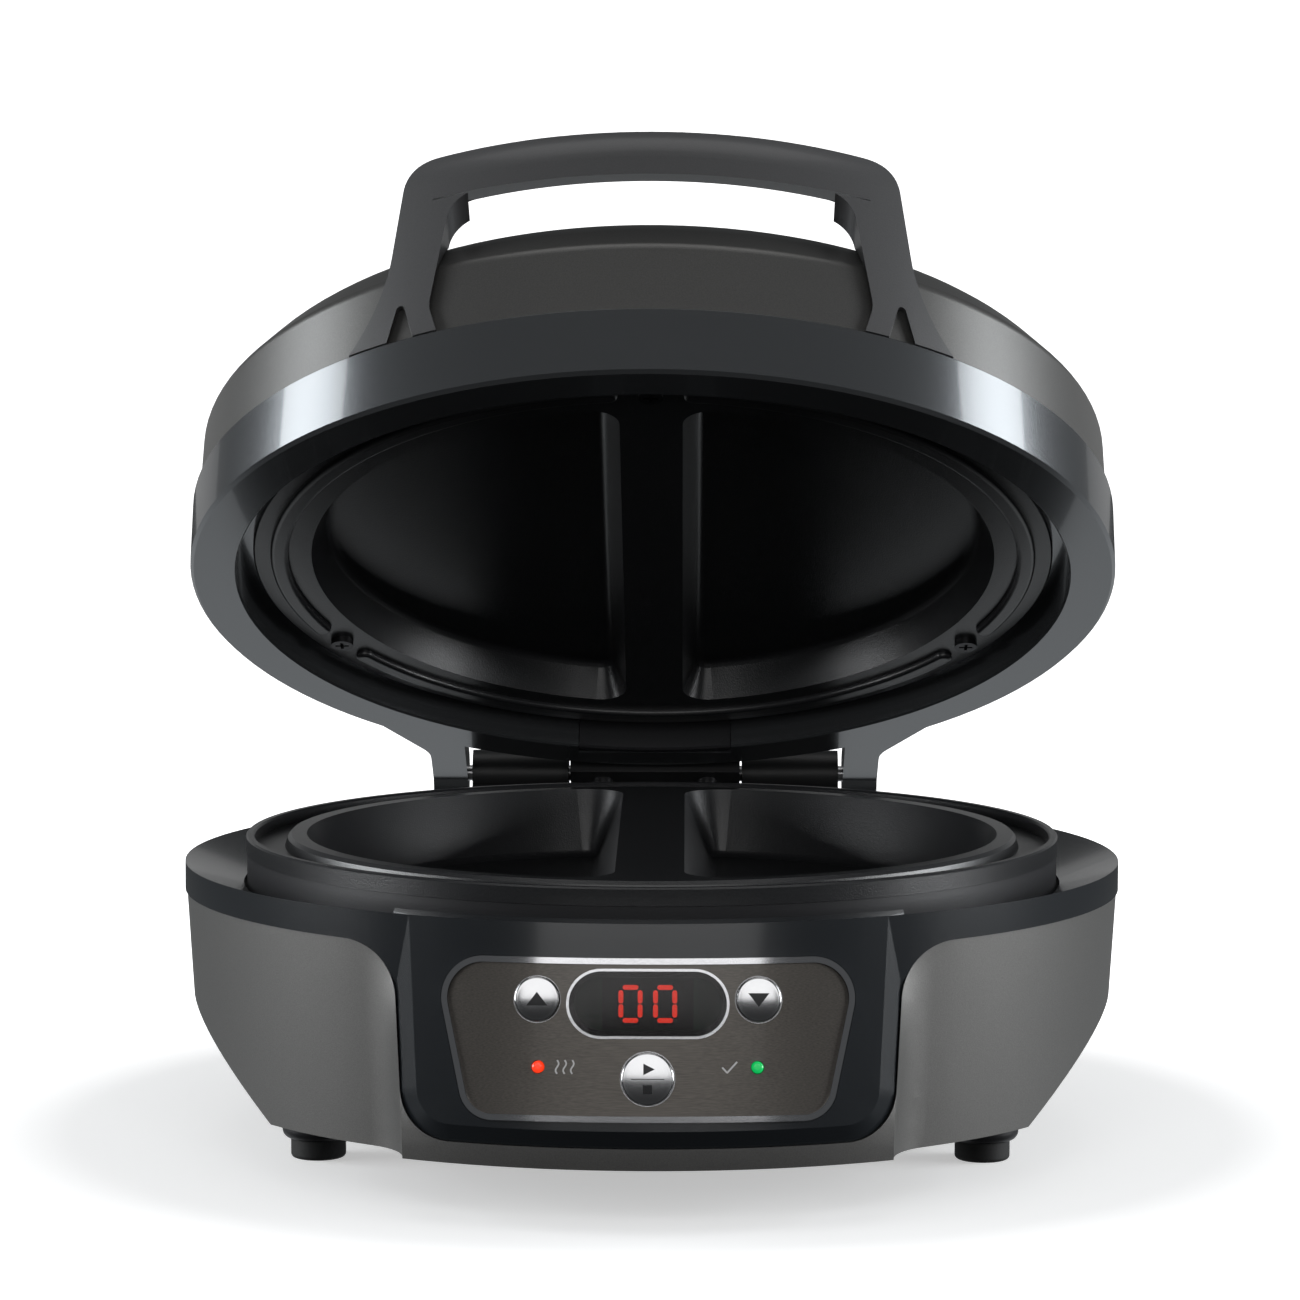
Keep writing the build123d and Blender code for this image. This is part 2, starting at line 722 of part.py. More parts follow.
def push_button(centre, radius):
    """A domed cap with a retaining flange behind the fascia and a stem over its switch."""
    setback = face_setback(centre[0])
    cap_front = panel_proud + button_proud - setback
    flange = radius + 1.2
    flange_front = -face_setback(abs(centre[0]) + flange) - fascia_wall - running_gap
    stem_end = -board_depth + switch_height + button_travel + running_gap
    with BuildPart() as button:
        extrude(face_circles(radius, centre, depth=-cap_front), amount=-(cap_front - flange_front))
        fillet(button.edges().sort_by(Axis(face.origin, face.z_dir))[-1], button_proud * 0.8)
        extrude(face_circles(flange, centre, depth=-flange_front), amount=-1.2)
        extrude(face_circles(2.0, centre, depth=-flange_front), amount=-(flange_front - stem_end))
    return button.part


button_up = push_button(arrow_centres[0], arrow_button_radius)
button_up.label = "button_up"
export_step(button_up, "parts/button_up.step")

button_down = push_button(arrow_centres[1], arrow_button_radius)
button_down.label = "button_down"
export_step(button_down, "parts/button_down.step")

button_start = push_button(start_centre, start_button_radius)
button_start.label = "button_start"
export_step(button_start, "parts/button_start.step")


def lamp(centre):
    """A round light pipe from the board to just in front of the panel."""
    front_end = panel_proud + 0.5 - face_setback(centre[0])
    with BuildPart() as pipe:
        extrude(face_circles(lamp_radius, centre, depth=board_depth), amount=board_depth + front_end)
        fillet(pipe.edges().sort_by(Axis(face.origin, face.z_dir))[-1], lamp_radius * 0.6)
    return pipe.part


heating_lamp = lamp(lamp_centres[0])
heating_lamp.label = "heating_lamp"
export_step(heating_lamp, "parts/heating_lamp.step")

ready_lamp = lamp(lamp_centres[1])
ready_lamp.label = "ready_lamp"
export_step(ready_lamp, "parts/ready_lamp.step")

# ---- cooking plates --------------------------------------------------------------------
# Cast plates with two half-round pockets; draft and rounds leave a small corner at the floor.
floor_corner = pocket_floor_round + 0.6


def pocket_pair(plane, divider, depth, grow):
    """Plan of both pockets at the plate's face, split by the divider."""
    with BuildSketch(plane) as pair:
        Circle(pocket_radius)
        Rectangle(divider, 2 * pocket_radius + 2, mode=Mode.SUBTRACT)
        fillet(pair.vertices(), depth * tan(radians(pocket_draft)) + floor_corner)
        if grow:
            offset(amount=grow)
    return pair.sketch


pan_grow = plate_wall / cos(radians(pocket_draft)) - plate_wall * tan(radians(pocket_draft))
channel_outer_radius = plate_radius - rim_bead_width
plate_bottom = plate_top_height - channel_depth - plate_wall
collar_top = plate_top_height - plate_edge_height - 0.1
plate_boss_angles = (90, 210, 330)
plate_boss_radius = 4.0

with BuildPart() as lower_pockets:
    extrude(
        pocket_pair(base.offset(plate_top_height), lower_divider, lower_pocket_depth, 0),
        amount=-lower_pocket_depth,
        taper=pocket_draft,
    )
    fillet(lower_pockets.edges().group_by(Axis.Z)[0], pocket_floor_round)

with BuildPart() as lower_plate:
    revolve(
        section(
            base,
            (0, plate_top_height - plate_wall),
            (channel_inner_radius - plate_wall, plate_top_height - plate_wall),
            (channel_inner_radius - plate_wall, plate_bottom),
            (collar_radius - collar_wall - running_gap, plate_bottom),
            (collar_radius - collar_wall - running_gap, plate_top_height - plate_edge_height),
            (plate_radius, plate_top_height - plate_edge_height),
            (plate_radius, plate_top_height - 0.5),
            (plate_radius - 0.5, plate_top_height),
            (channel_outer_radius + 0.4, plate_top_height),
            (channel_outer_radius, plate_top_height - 0.6),
            (channel_outer_radius, plate_top_height - channel_depth),
            (channel_inner_radius + 0.8, plate_top_height - channel_depth),
            (channel_inner_radius, plate_top_height - 1.0),
            (channel_inner_radius - 1.0, plate_top_height),
            (0, plate_top_height),
        ),
        axis=spin(base),
    )
    extrude(
        pocket_pair(
            base.offset(plate_top_height - plate_wall), lower_divider, lower_pocket_depth, pan_grow
        ),
        amount=-lower_pocket_depth,
        taper=pocket_draft,
    )
    add(lower_pockets.part, mode=Mode.SUBTRACT)
    for boss in around(base, plate_bottom + 0.5, plate_screw_radius, *plate_boss_angles):
        with BuildSketch(boss):
            Circle(plate_boss_radius)
            Circle(shank_radius + thread_clearance, mode=Mode.SUBTRACT)
        extrude(amount=-(plate_bottom + 0.5 - collar_ledge_top))
lower_plate.part.label = "lower_plate"
export_step(lower_plate.part, "parts/lower_plate.step")

# Collar that carries the lower plate inside the deck, with a ledge in and a flange out.
with BuildPart() as plate_collar:
    revolve(
        section(
            base,
            (collar_radius - collar_wall, collar_top),
            (collar_radius, collar_top),
            (collar_radius, collar_flange_top),
            (collar_screw_radius + 4, collar_flange_top),
            (collar_screw_radius + 4, collar_flange_top - collar_ledge),
            (collar_radius - collar_wall, collar_flange_top - collar_ledge),
            (collar_radius - collar_wall, collar_ledge_top - collar_ledge),
            (shield_radius + 0.5, collar_ledge_top - collar_ledge),
            (shield_radius + 0.5, collar_ledge_top),
            (collar_radius - collar_wall, collar_ledge_top),
        ),
        axis=spin(base),
    )
    for hole in around(base, collar_ledge_top, plate_screw_radius, *plate_boss_angles):
        with BuildSketch(hole):
            Circle(shank_radius + thread_clearance)
        extrude(amount=-collar_ledge, mode=Mode.SUBTRACT)
    for hole in around(base, collar_flange_top, collar_screw_radius, *collar_screw_angles):
        with BuildSketch(hole):
            Circle(small_shank_radius + thread_clearance)
        extrude(amount=-collar_ledge, mode=Mode.SUBTRACT)
    for hole in around(base, collar_flange_top, base_screw_radius, *base_screw_angles):
        with BuildSketch(hole):
            Circle(post_radius + seam)
        extrude(amount=-collar_ledge, mode=Mode.SUBTRACT)
plate_collar.part.label = "plate_collar"
export_step(plate_collar.part, "parts/plate_collar.step")

collar_screws = screws(
    facing_down(
        around(base, collar_flange_top - collar_ledge, collar_screw_radius, *collar_screw_angles)
    ),
    small_head_radius,
    small_head_height,
    small_shank_radius,
    collar_ledge + 4.0,
)
collar_screws.label = "collar_screws"
export_step(collar_screws, "parts/collar_screws.step")

# ---- lower heater ----------------------------------------------------------------------
# Sheet pan under the plate, tubular element pressed to the pocket floors, thermostat and fuse.
pan_floor = plate_top_height - plate_wall - lower_pocket_depth
element_gap = 0.05
lower_element_height = pan_floor - element_tube_radius - element_gap
shield_flange_top = collar_ledge_top - collar_ledge - 0.1
shield_floor = lower_element_height - element_tube_radius - 6.0
element_ends = (80, 100)
terminal_radius = 1.8
terminal_length = 10.0


def heat_shield(frame, flange, floor, flange_radius, toward):
    """A sheet pan with an outward flange; toward is +1 when the pan opens along the frame."""
    inner = shield_radius - shield_sheet
    return section(
        frame,
        (0, floor),
        (inner, floor),
        (inner, flange),
        (flange_radius, flange),
        (flange_radius, flange - toward * shield_sheet),
        (shield_radius, flange - toward * shield_sheet),
        (shield_radius, floor - toward * shield_sheet),
        (0, floor - toward * shield_sheet),
    )


def tube_element(frame, height, toward):
    """A ring of heating tube, open at the rear, with two terminals that point away."""
    begin = radians(element_ends[1])
    out = frame.x_dir * cos(begin) + frame.y_dir * sin(begin)
    side = frame.x_dir * sin(begin) - frame.y_dir * cos(begin)
    start = Plane(origin=frame.origin, x_dir=out, z_dir=side)
    with BuildPart() as element:
        with BuildSketch(start):
            with Locations((element_radius, height)):
                Circle(element_tube_radius)
        revolve(axis=spin(frame), revolution_arc=360 - element_ends[1] + element_ends[0])
        for end in around(frame, height, element_radius, *element_ends):
            with BuildSketch(end):
                Circle(terminal_radius)
            extrude(amount=toward * (element_tube_radius + terminal_length))
    return element.part


with BuildPart() as lower_heat_shield:
    revolve(
        heat_shield(base, shield_flange_top, shield_floor, plate_screw_radius + 4.5, 1), axis=spin(base)
    )
    for hole in around(base, shield_flange_top, plate_screw_radius, *plate_boss_angles):
        with BuildSketch(hole):
            Circle(shank_radius + thread_clearance)
        extrude(amount=-shield_sheet, mode=Mode.SUBTRACT)
    for hole in around(base, shield_floor, element_radius, *element_ends):
        with BuildSketch(hole):
            Circle(terminal_radius + 1.2)
        extrude(amount=-shield_sheet, mode=Mode.SUBTRACT)
lower_heat_shield.part.label = "lower_heat_shield"
export_step(lower_heat_shield.part, "parts/lower_heat_shield.step")

lower_plate_screws = screws(
    facing_down(around(base, shield_flange_top - shield_sheet, plate_screw_radius, *plate_boss_angles)),
    head_radius,
    head_height,
    shank_radius,
    plate_bottom - shield_flange_top - 1.0,
)
lower_plate_screws.label = "lower_plate_screws"
export_step(lower_plate_screws, "parts/lower_plate_screws.step")

lower_element = tube_element(base, lower_element_height, -1)
lower_element.label = "lower_element"
export_step(lower_element, "parts/lower_element.step")

thermostat_width = 11.0
thermostat_length = 24.0
thermostat_height = 8.0
with BuildPart() as lower_thermostat:
    with BuildSketch(base.offset(plate_top_height - plate_wall)):
        RectangleRounded(thermostat_width, thermostat_length, 2)
    extrude(amount=-thermostat_height)
    with BuildSketch(base.offset(plate_top_height - plate_wall - thermostat_height)):
        with GridLocations(0, thermostat_length / 2, 1, 2):
            Rectangle(tab_width, tab_thickness)
    extrude(amount=-7)
lower_thermostat.part.label = "lower_thermostat"
export_step(lower_thermostat.part, "parts/lower_thermostat.step")

fuse_radius = 2.0
fuse_plane = Plane(
    origin=(0, body_axis_y + 34, plate_top_height - plate_wall - fuse_radius), x_dir=(1, 0, 0), z_dir=(0, 1, 0)
)
with BuildPart() as thermal_fuse:
    with BuildSketch(fuse_plane):
        Circle(fuse_radius)
    extrude(amount=14)
    with BuildSketch(fuse_plane.offset(-8)):
        Circle(0.5)
    extrude(amount=30)
thermal_fuse.part.label = "thermal_fuse"
export_step(thermal_fuse.part, "parts/thermal_fuse.step")

# ---- base inside: power board, terminals, cord gland -------------------------------------
board_level = 28.0
power_board_width = 84.0
power_board_depth = 56.0
power_board_reach = 40.0
standoff_radius = 3.2
cover_top = underside_height + cover_thickness
power_corners = [
    (x * (power_board_width / 2 - 5), power_board_reach + y * (power_board_depth / 2 - 5))
    for x in (-1, 1)
    for y in (-1, 1)
]

with BuildPart() as bottom_cover:
    with BuildSketch(base.offset(underside_height)):
        RectangleRounded(2 * cover_half_width, 2 * cover_half_depth, cover_corner)
        with Locations(*cover_screw_places):
            Circle(shank_radius + thread_clearance, mode=Mode.SUBTRACT)
        with Locations((0, -cover_half_depth / 2)):
            with GridLocations(9.5, 0, 10, 1):
                SlotOverall(36, 3.2, rotation=90, mode=Mode.SUBTRACT)
    extrude(amount=cover_thickness)
    with BuildSketch(base.offset(cover_top)):
        with Locations(*power_corners):
            Circle(standoff_radius)
    extrude(amount=board_level - cover_top)
    with BuildSketch(base.offset(board_level)):
        with Locations(*power_corners):
            Circle(small_shank_radius + thread_clearance)
    extrude(amount=-5, mode=Mode.SUBTRACT)
bottom_cover.part.label = "bottom_cover"
export_step(bottom_cover.part, "parts/bottom_cover.step")


def planes_at(frame, height, places, up=1):
    """Planes at plan places and one height in a frame, facing along its axis or against it."""
    level = frame.offset(height)
    return [
        Plane(origin=level.from_local_coords((x, y, 0)), x_dir=frame.x_dir, z_dir=frame.z_dir * up)
        for x, y in places
    ]


cover_screws = screws(
    planes_at(base, underside_height, cover_screw_places, -1), head_radius, head_height, shank_radius, 4.0
)
cover_screws.label = "cover_screws"
export_step(cover_screws, "parts/cover_screws.step")

base_screws = screws(
    facing_down(
        around(base, underside_height + head_height + seam, base_screw_radius, *base_screw_angles)
    ),
    head_radius,
    head_height,
    shank_radius,
    floor_thickness + 9.0,
)
base_screws.label = "base_screws"
export_step(base_screws, "parts/base_screws.step")

with BuildPart() as power_board:
    with BuildSketch(base.offset(board_level)):
        with Locations((0, power_board_reach)):
            RectangleRounded(power_board_width, power_board_depth, 2)
        with Locations(*power_corners):
            Circle(small_shank_radius + thread_clearance, mode=Mode.SUBTRACT)
    extrude(amount=board_thickness)
power_board.part.label = "power_board"
export_step(power_board.part, "parts/power_board.step")

power_screws = screws(
    planes_at(base, board_level + board_thickness, power_corners),
    small_head_radius,
    small_head_height,
    small_shank_radius,
    5.6,
)
power_screws.label = "power_screws"
export_step(power_screws, "parts/power_screws.step")

with BuildPart() as transformer:
    with BuildSketch(base.offset(board_level + board_thickness)):
        with Locations((-20, power_board_reach)):
            Rectangle(26, 22)
    extrude(amount=14)
    with BuildSketch(base.offset(board_level + board_thickness + 3)):
        with Locations((-20, power_board_reach)):
            Rectangle(20, 28)
    extrude(amount=8)
transformer.part.label = "transformer"
export_step(transformer.part, "parts/transformer.step")

with BuildPart() as relay:
    with BuildSketch(base.offset(board_level + board_thickness)):
        with Locations((18, power_board_reach)):
            Rectangle(15.5, 19)
    extrude(amount=15)
    fillet(relay.edges().group_by(Axis.Z)[-1], 0.8)
relay.part.label = "relay"
export_step(relay.part, "parts/relay.step")

with BuildPart() as terminal_block:
    with BuildSketch(base.offset(underside_height + floor_thickness)):
        with Locations((0, 106)):
            Rectangle(32, 13)
    extrude(amount=11)
    with BuildSketch(base.offset(underside_height + floor_thickness + 11)):
        with Locations((0, 106)):
            with GridLocations(10.5, 0, 3, 1):
                Circle(2.6)
    extrude(amount=-5, mode=Mode.SUBTRACT)
terminal_block.part.label = "terminal_block"
export_step(terminal_block.part, "parts/terminal_block.step")

gland_bore_radius = 3.6
with BuildPart() as cord_gland:
    with BuildSketch(gland_plane.offset(0.8)):
        Circle(gland_radius + 2.6)
    extrude(amount=3)
    with BuildSketch(gland_plane.offset(-9)):
        Circle(gland_radius)
    extrude(amount=17)
    with BuildSketch(gland_plane.offset(-9)):
        RegularPolygon(gland_radius + 2.6, 6)
    extrude(amount=9 - body_wall - 1.3)
    with BuildSketch(gland_plane.offset(-9)):
        Circle(gland_bore_radius)
    extrude(amount=17, mode=Mode.SUBTRACT)
cord_gland.part.label = "cord_gland"
export_step(cord_gland.part, "parts/cord_gland.step")

# ---- feet ------------------------------------------------------------------------------
pad_stub = 1.4
foot_bore_top = 10.0
with BuildPart() as feet:
    with BuildSketch(base.offset(foot_pad_height)):
        with Locations(*foot_places):
            Circle(foot_radius)
    extrude(amount=underside_height - foot_pad_height)
    fillet(feet.edges().group_by(Axis.Z)[0], 2.6)
    with BuildSketch(base.offset(foot_pad_height)):
        with Locations(*foot_places):
            Circle(head_radius + 1.5)
    extrude(amount=foot_bore_top - foot_pad_height, mode=Mode.SUBTRACT)
    with BuildSketch(base.offset(foot_pad_height)):
        with Locations(*foot_places):
            Circle(shank_radius + thread_clearance)
    extrude(amount=underside_height - foot_pad_height, mode=Mode.SUBTRACT)
feet.part.label = "feet"
export_step(feet.part, "parts/feet.step")

with BuildPart() as foot_pads:
    with BuildSketch(base):
        with Locations(*foot_places):
            Circle(foot_pad_radius)
    extrude(amount=foot_pad_height)
    fillet(foot_pads.edges().group_by(Axis.Z)[0], 1.2)
    with BuildSketch(base.offset(foot_pad_height)):
        with Locations(*foot_places):
            Circle(head_radius + 1.5 - thread_clearance)
    extrude(amount=pad_stub)
foot_pads.part.label = "foot_pads"
export_step(foot_pads.part, "parts/foot_pads.step")

foot_screws = screws(
    planes_at(base, foot_bore_top, foot_places, -1), head_radius, head_height, shank_radius, 9.0
)
foot_screws.label = "foot_screws"
export_step(foot_screws, "parts/foot_screws.step")

# ---- hinge mount and pins --------------------------------------------------------------
block_inner = tongue_half_width + leaf_gap
mount_low = 50.0
bridge_top = 72.0
hinge_above_table = hinge_z

with BuildPart() as hinge_mount:
    for side in (-block_outer, block_inner):
        with BuildSketch(side_view(base, side)):
            Polygon(
                (hinge_reach - 42, mount_low),
                (hinge_reach - 9, mount_low),
                (hinge_reach + knuckle_radius, mount_low + 15),
                (hinge_reach + knuckle_radius, hinge_above_table),
                (hinge_reach - 7, hinge_above_table - 3),
                (hinge_reach - 11.5, deck_rim_height - 0.4),
                (hinge_reach - 42, deck_rim_height - 0.4),
                align=None,
            )
            with Locations((hinge_reach, hinge_above_table)):
                Circle(knuckle_radius)
        extrude(amount=block_outer - block_inner)
    with BuildSketch(side_view(base, -block_inner - 1)):
        Polygon(
            (hinge_reach - 42, mount_low),
            (hinge_reach - 9, mount_low),
            (hinge_reach + knuckle_radius, mount_low + 15),
            (hinge_reach + knuckle_radius, bridge_top - 2),
            (hinge_reach + knuckle_radius - 2, bridge_top),
            (hinge_reach - 42, bridge_top),
            align=None,
        )
    extrude(amount=2 * block_inner + 2)
    revolve(
        section(
            base,
            (0, 0),
            (body_bottom_radius + seam, 0),
            (body_bottom_radius + seam, underside_height),
            (body_top_radius + seam, band_bottom_height),
            (deck_radius + seam, band_bottom_height),
            (deck_radius + seam, hinge_above_table + 20),
            (0, hinge_above_table + 20),
        ),
        axis=spin(base),
        mode=Mode.SUBTRACT,
    )
    with BuildSketch(side_view(base, -block_outer)):
        with Locations((hinge_reach, hinge_above_table)):
            Circle(pin_radius + press_clearance)
    extrude(amount=2 * block_outer, mode=Mode.SUBTRACT)
    with BuildSketch(hinge_wall_front):
        with Locations(*hinge_screw_places):
            Circle(shank_radius + thread_clearance)
    extrude(amount=-16, mode=Mode.SUBTRACT)
hinge_mount.part.label = "hinge_mount"
export_step(hinge_mount.part, "parts/hinge_mount.step")

hinge_screw_seats = [
    Plane(
        origin=hinge_wall_front.from_local_coords((x, z, 0)), x_dir=(1, 0, 0), z_dir=hinge_wall_front.z_dir
    )
    for x, z in hinge_screw_places
]
hinge_screws = screws(hinge_screw_seats, head_radius, head_height, shank_radius, 15.0)
hinge_screws.label = "hinge_screws"
export_step(hinge_screws, "parts/hinge_screws.step")

with BuildPart() as hinge_pins:
    for start in (-lug_outer + 0.2, pin_inner_end):
        with BuildSketch(side_view(base, start)):
            with Locations((hinge_reach, hinge_above_table)):
                Circle(pin_radius)
        extrude(amount=lug_outer - 0.2 - pin_inner_end)
hinge_pins.part.label = "hinge_pins"
export_step(hinge_pins.part, "parts/hinge_pins.step")

# ---- lid rim ---------------------------------------------------------------------------
# Band with a flat rim face, an inner ledge for the plate, the hinge lugs and the tongue.
plate_back = upper_plate_recess + plate_wall
ledge_low = plate_back + 0.1
ledge_high = ledge_low + 1.8
rim_face_inner = lid_rim_inner_radius
upper_screw_angles = (-90, 30, 150)
lid_screw_radius = 115.4
lid_screw_angles = (45, 135, 225, 315)
lid_boss_height = 4.4
insert_half_width = 24.0
tongue_height = 12.5
tongue_root = 128.0             # inside the band, where the tongue grows out of it
bore_radius = pin_radius + shaft_clearance


def hinge_leaf(x, low, high, front):
    """Side outline of a hinge leaf in the lid: a bar back to a round end on the hinge axis."""
    with BuildSketch(side_view(lid, x)) as leaf:
        Polygon((front, low), (hinge_reach, low), (hinge_reach, high), (front, high), align=None)
        with Locations((hinge_reach, hinge_rise)):
            Circle(knuckle_radius)
        with Locations((hinge_reach, (low + high) / 2)):
            Rectangle(400, high - low, mode=Mode.INTERSECT)
    return leaf.sketch


with BuildPart() as lug_plan:
    for mirrored in (1, -1):
        with BuildSketch(lid.offset(-knuckle_radius)):
            with BuildLine():
                FilletPolyline(
                    (mirrored * lug_inner, hinge_reach - 42),
                    (mirrored * lug_inner, rear_reach + 1),
                    (mirrored * lug_outer, rear_reach + 1),
                    (mirrored * lug_outer, hinge_reach - 27),
                    (mirrored * (lug_outer + 18), hinge_reach - 55),
                    radius=[0, 0, 0, 12, 0],
                    close=True,
                )
            make_face()
        extrude(amount=4 * knuckle_radius)
    with BuildSketch(side_view(lid, -2 * lug_outer)):
        Polygon(
            (hinge_reach - 56, 0.3),
            (hinge_reach - 5, 0.3),
            (hinge_reach, hinge_rise - knuckle_radius + 0.3),
            (hinge_reach, tongue_height),
            (hinge_reach - 56, tongue_height),
            align=None,
        )
        with Locations((hinge_reach, hinge_rise)):
            Circle(knuckle_radius)
    extrude(amount=4 * lug_outer, mode=Mode.INTERSECT)

with BuildPart() as lid_rim:
    revolve(
        section(
            lid,
            (rim_face_inner, 0.6),
            (rim_face_inner + 0.6, 0),
            (deck_radius - 1.0, 0),
            (deck_radius, 1.0),
            (deck_radius, lid_band_height - 0.5),
            (deck_radius - 0.5, lid_band_height),
            (deck_radius - 2.6, lid_band_height),
            (deck_radius - 2.6, lid_rim_sheet),
            (rim_face_inner + lid_rim_sheet, lid_rim_sheet),
            (rim_face_inner + lid_rim_sheet, ledge_high),
            (shield_radius + 0.5, ledge_high),
            (shield_radius + 0.5, ledge_low),
            (rim_face_inner, ledge_low),
        ),
        axis=spin(lid),
    )
    for boss in around(lid, ledge_low, lid_screw_radius, *lid_screw_angles):
        with BuildSketch(boss):
            Circle(head_radius + 2)
        extrude(amount=lid_boss_height)
        with BuildSketch(boss):
            Circle(head_radius + seam)
        extrude(amount=head_height + seam, mode=Mode.SUBTRACT)
        with BuildSketch(boss):
            Circle(shank_radius + thread_clearance)
        extrude(amount=lid_boss_height, mode=Mode.SUBTRACT)
    for boss in around(lid, ledge_low, plate_screw_radius, *upper_screw_angles):
        with BuildSketch(boss):
            Circle(plate_boss_radius)
        extrude(amount=8)
        with BuildSketch(boss):
            Circle(shank_radius + thread_clearance)
        extrude(amount=8, mode=Mode.SUBTRACT)
    with BuildSketch(lid.offset(-1)):
        with Locations((0, rim_face_inner)):
            Rectangle(2 * insert_half_width, 2 * lid_rim_sheet + 2)
    extrude(amount=ledge_low + 1, mode=Mode.SUBTRACT)
    with BuildSketch(lid):
        with Locations((0, rim_face_inner + 5.2)):
            Rectangle(2 * insert_half_width + 1, 5)
    extrude(amount=lid_rim_sheet)
    extrude(
        hinge_leaf(-tongue_half_width, hinge_rise, tongue_height, tongue_root), amount=2 * tongue_half_width
    )
    add(lug_plan.part)
    with BuildSketch(side_view(lid, -lug_outer - 1)):
        with Locations((hinge_reach, hinge_rise)):
            Circle(bore_radius)
    extrude(amount=lug_outer + 1 - pin_inner_end + 0.3, mode=Mode.SUBTRACT)
    with BuildSketch(side_view(lid, pin_inner_end - 0.3)):
        with Locations((hinge_reach, hinge_rise)):
            Circle(bore_radius)
    extrude(amount=lug_outer + 1 - pin_inner_end + 0.3, mode=Mode.SUBTRACT)
    with BuildSketch(lid.offset(hinge_rise)):
        with Locations(*bracket_screw_places):
            Circle(shank_radius + thread_clearance)
    extrude(amount=6, mode=Mode.SUBTRACT)
lid_rim.part.label = "lid_rim"
export_step(lid_rim.part, "parts/lid_rim.step")

with BuildPart() as rim_insert:
    revolve(
        section(
            lid,
            (rim_face_inner, 0.6),
            (rim_face_inner + 0.6, 0),
            (rim_face_inner + lid_rim_sheet - seam, 0),
            (rim_face_inner + lid_rim_sheet - seam, ledge_low - 0.1),
            (rim_face_inner, ledge_low - 0.1),
        ),
        axis=spin(lid),
    )
    with BuildSketch(lid.offset(-1)):
        with Locations((0, rim_face_inner)):
            Rectangle(2 * (insert_half_width - seam), 20)
    extrude(amount=ledge_high + 1, mode=Mode.INTERSECT)
rim_insert.part.label = "rim_insert"
export_step(rim_insert.part, "parts/rim_insert.step")

# Bracket under the tongue: the lower half of the lid's bearing on the pins.
bracket_low = -1.5
bracket_front = deck_radius + 1.5
with BuildPart() as hinge_bracket:
    extrude(
        hinge_leaf(-tongue_half_width, bracket_low, hinge_rise - 0.1, bracket_front),
        amount=2 * tongue_half_width,
    )
    with BuildSketch(side_view(lid, -tongue_half_width)):
        with Locations((hinge_reach, hinge_rise)):
            Circle(knuckle_radius)
            Rectangle(4 * knuckle_radius, 4 * knuckle_radius, align=(Align.CENTER, Align.MIN),
                      mode=Mode.SUBTRACT)
    extrude(amount=2 * tongue_half_width)
    with BuildSketch(lid.offset(hinge_rise - 0.1)):
        with Locations((0, hinge_reach)):
            Rectangle(2 * tongue_half_width, 4 * knuckle_radius)
    extrude(amount=1, mode=Mode.SUBTRACT)
    for start in (-lug_outer, pin_inner_end - 0.3):
        with BuildSketch(side_view(lid, start)):
            with Locations((hinge_reach, hinge_rise)):
                Circle(bore_radius)
        extrude(amount=lug_outer - pin_inner_end + 0.3, mode=Mode.SUBTRACT)
    with BuildSketch(lid.offset(bracket_low)):
        with Locations(*bracket_screw_places):
            Circle(shank_radius + thread_clearance)
    extrude(amount=10, mode=Mode.SUBTRACT)
hinge_bracket.part.label = "hinge_bracket"
export_step(hinge_bracket.part, "parts/hinge_bracket.step")

bracket_screws = screws(
    planes_at(
        lid,
        bracket_low,
        bracket_screw_places,
        -1,
    ),
    head_radius,
    head_height,
    shank_radius,
    11.0,
)
bracket_screws.label = "bracket_screws"
export_step(bracket_screws, "parts/bracket_screws.step")

# ---- lid shell -------------------------------------------------------------------------
# Pressed dome: an upright wall, a broad shoulder and a nearly flat crown.
skirt_low = tongue_height + running_gap
shell_screw_seat = ledge_low + head_height + seam
handle_screw_radius = 126.0
handle_screw_spread = 64.5
handle_screw_seat = 34.0
handle_screw_places = [
    (x * handle_screw_spread, -sqrt(handle_screw_radius**2 - handle_screw_spread**2)) for x in (-1, 1)
]


def dome_section(grow, foot):
    """Half section of the solid dome, its skin moved out by grow, standing on a foot height."""
    draft = (dome_foot_radius - dome_edge_radius) / (dome_edge_height - lid_band_height)
    with BuildSketch(upright(lid)) as outline:
        with BuildLine():
            Polyline(
                (0, dome_height + grow),
                (0, foot),
                (dome_foot_radius + grow + (lid_band_height - foot) * draft, foot),
                (dome_edge_radius + grow, dome_edge_height + 0.45 * grow),
                (dome_shoulder_radius + 0.45 * grow, dome_shoulder_height + grow),
            )
            TangentArc(
                (0, dome_height + grow),
                (dome_shoulder_radius + 0.45 * grow, dome_shoulder_height + grow),
                tangent=(1, 0),
            )
        make_face()
        fillet(outline.vertices().sort_by(Axis.X)[-3], dome_shoulder_round)
        fillet(outline.vertices().sort_by(Axis.X)[-2], dome_edge_round)
    return outline.sketch


with BuildPart() as dome_bosses:
    for boss in planes_at(lid, handle_screw_seat, handle_screw_places):
        with BuildSketch(boss):
            Circle(post_radius)
        extrude(amount=20)
    for boss in around(lid, ledge_low + lid_boss_height + 0.1, lid_screw_radius, *lid_screw_angles):
        with BuildSketch(boss):
            Circle(post_radius)
        extrude(amount=dome_height)
    revolve(dome_section(-0.2, lid_rim_sheet), axis=spin(lid), mode=Mode.INTERSECT)

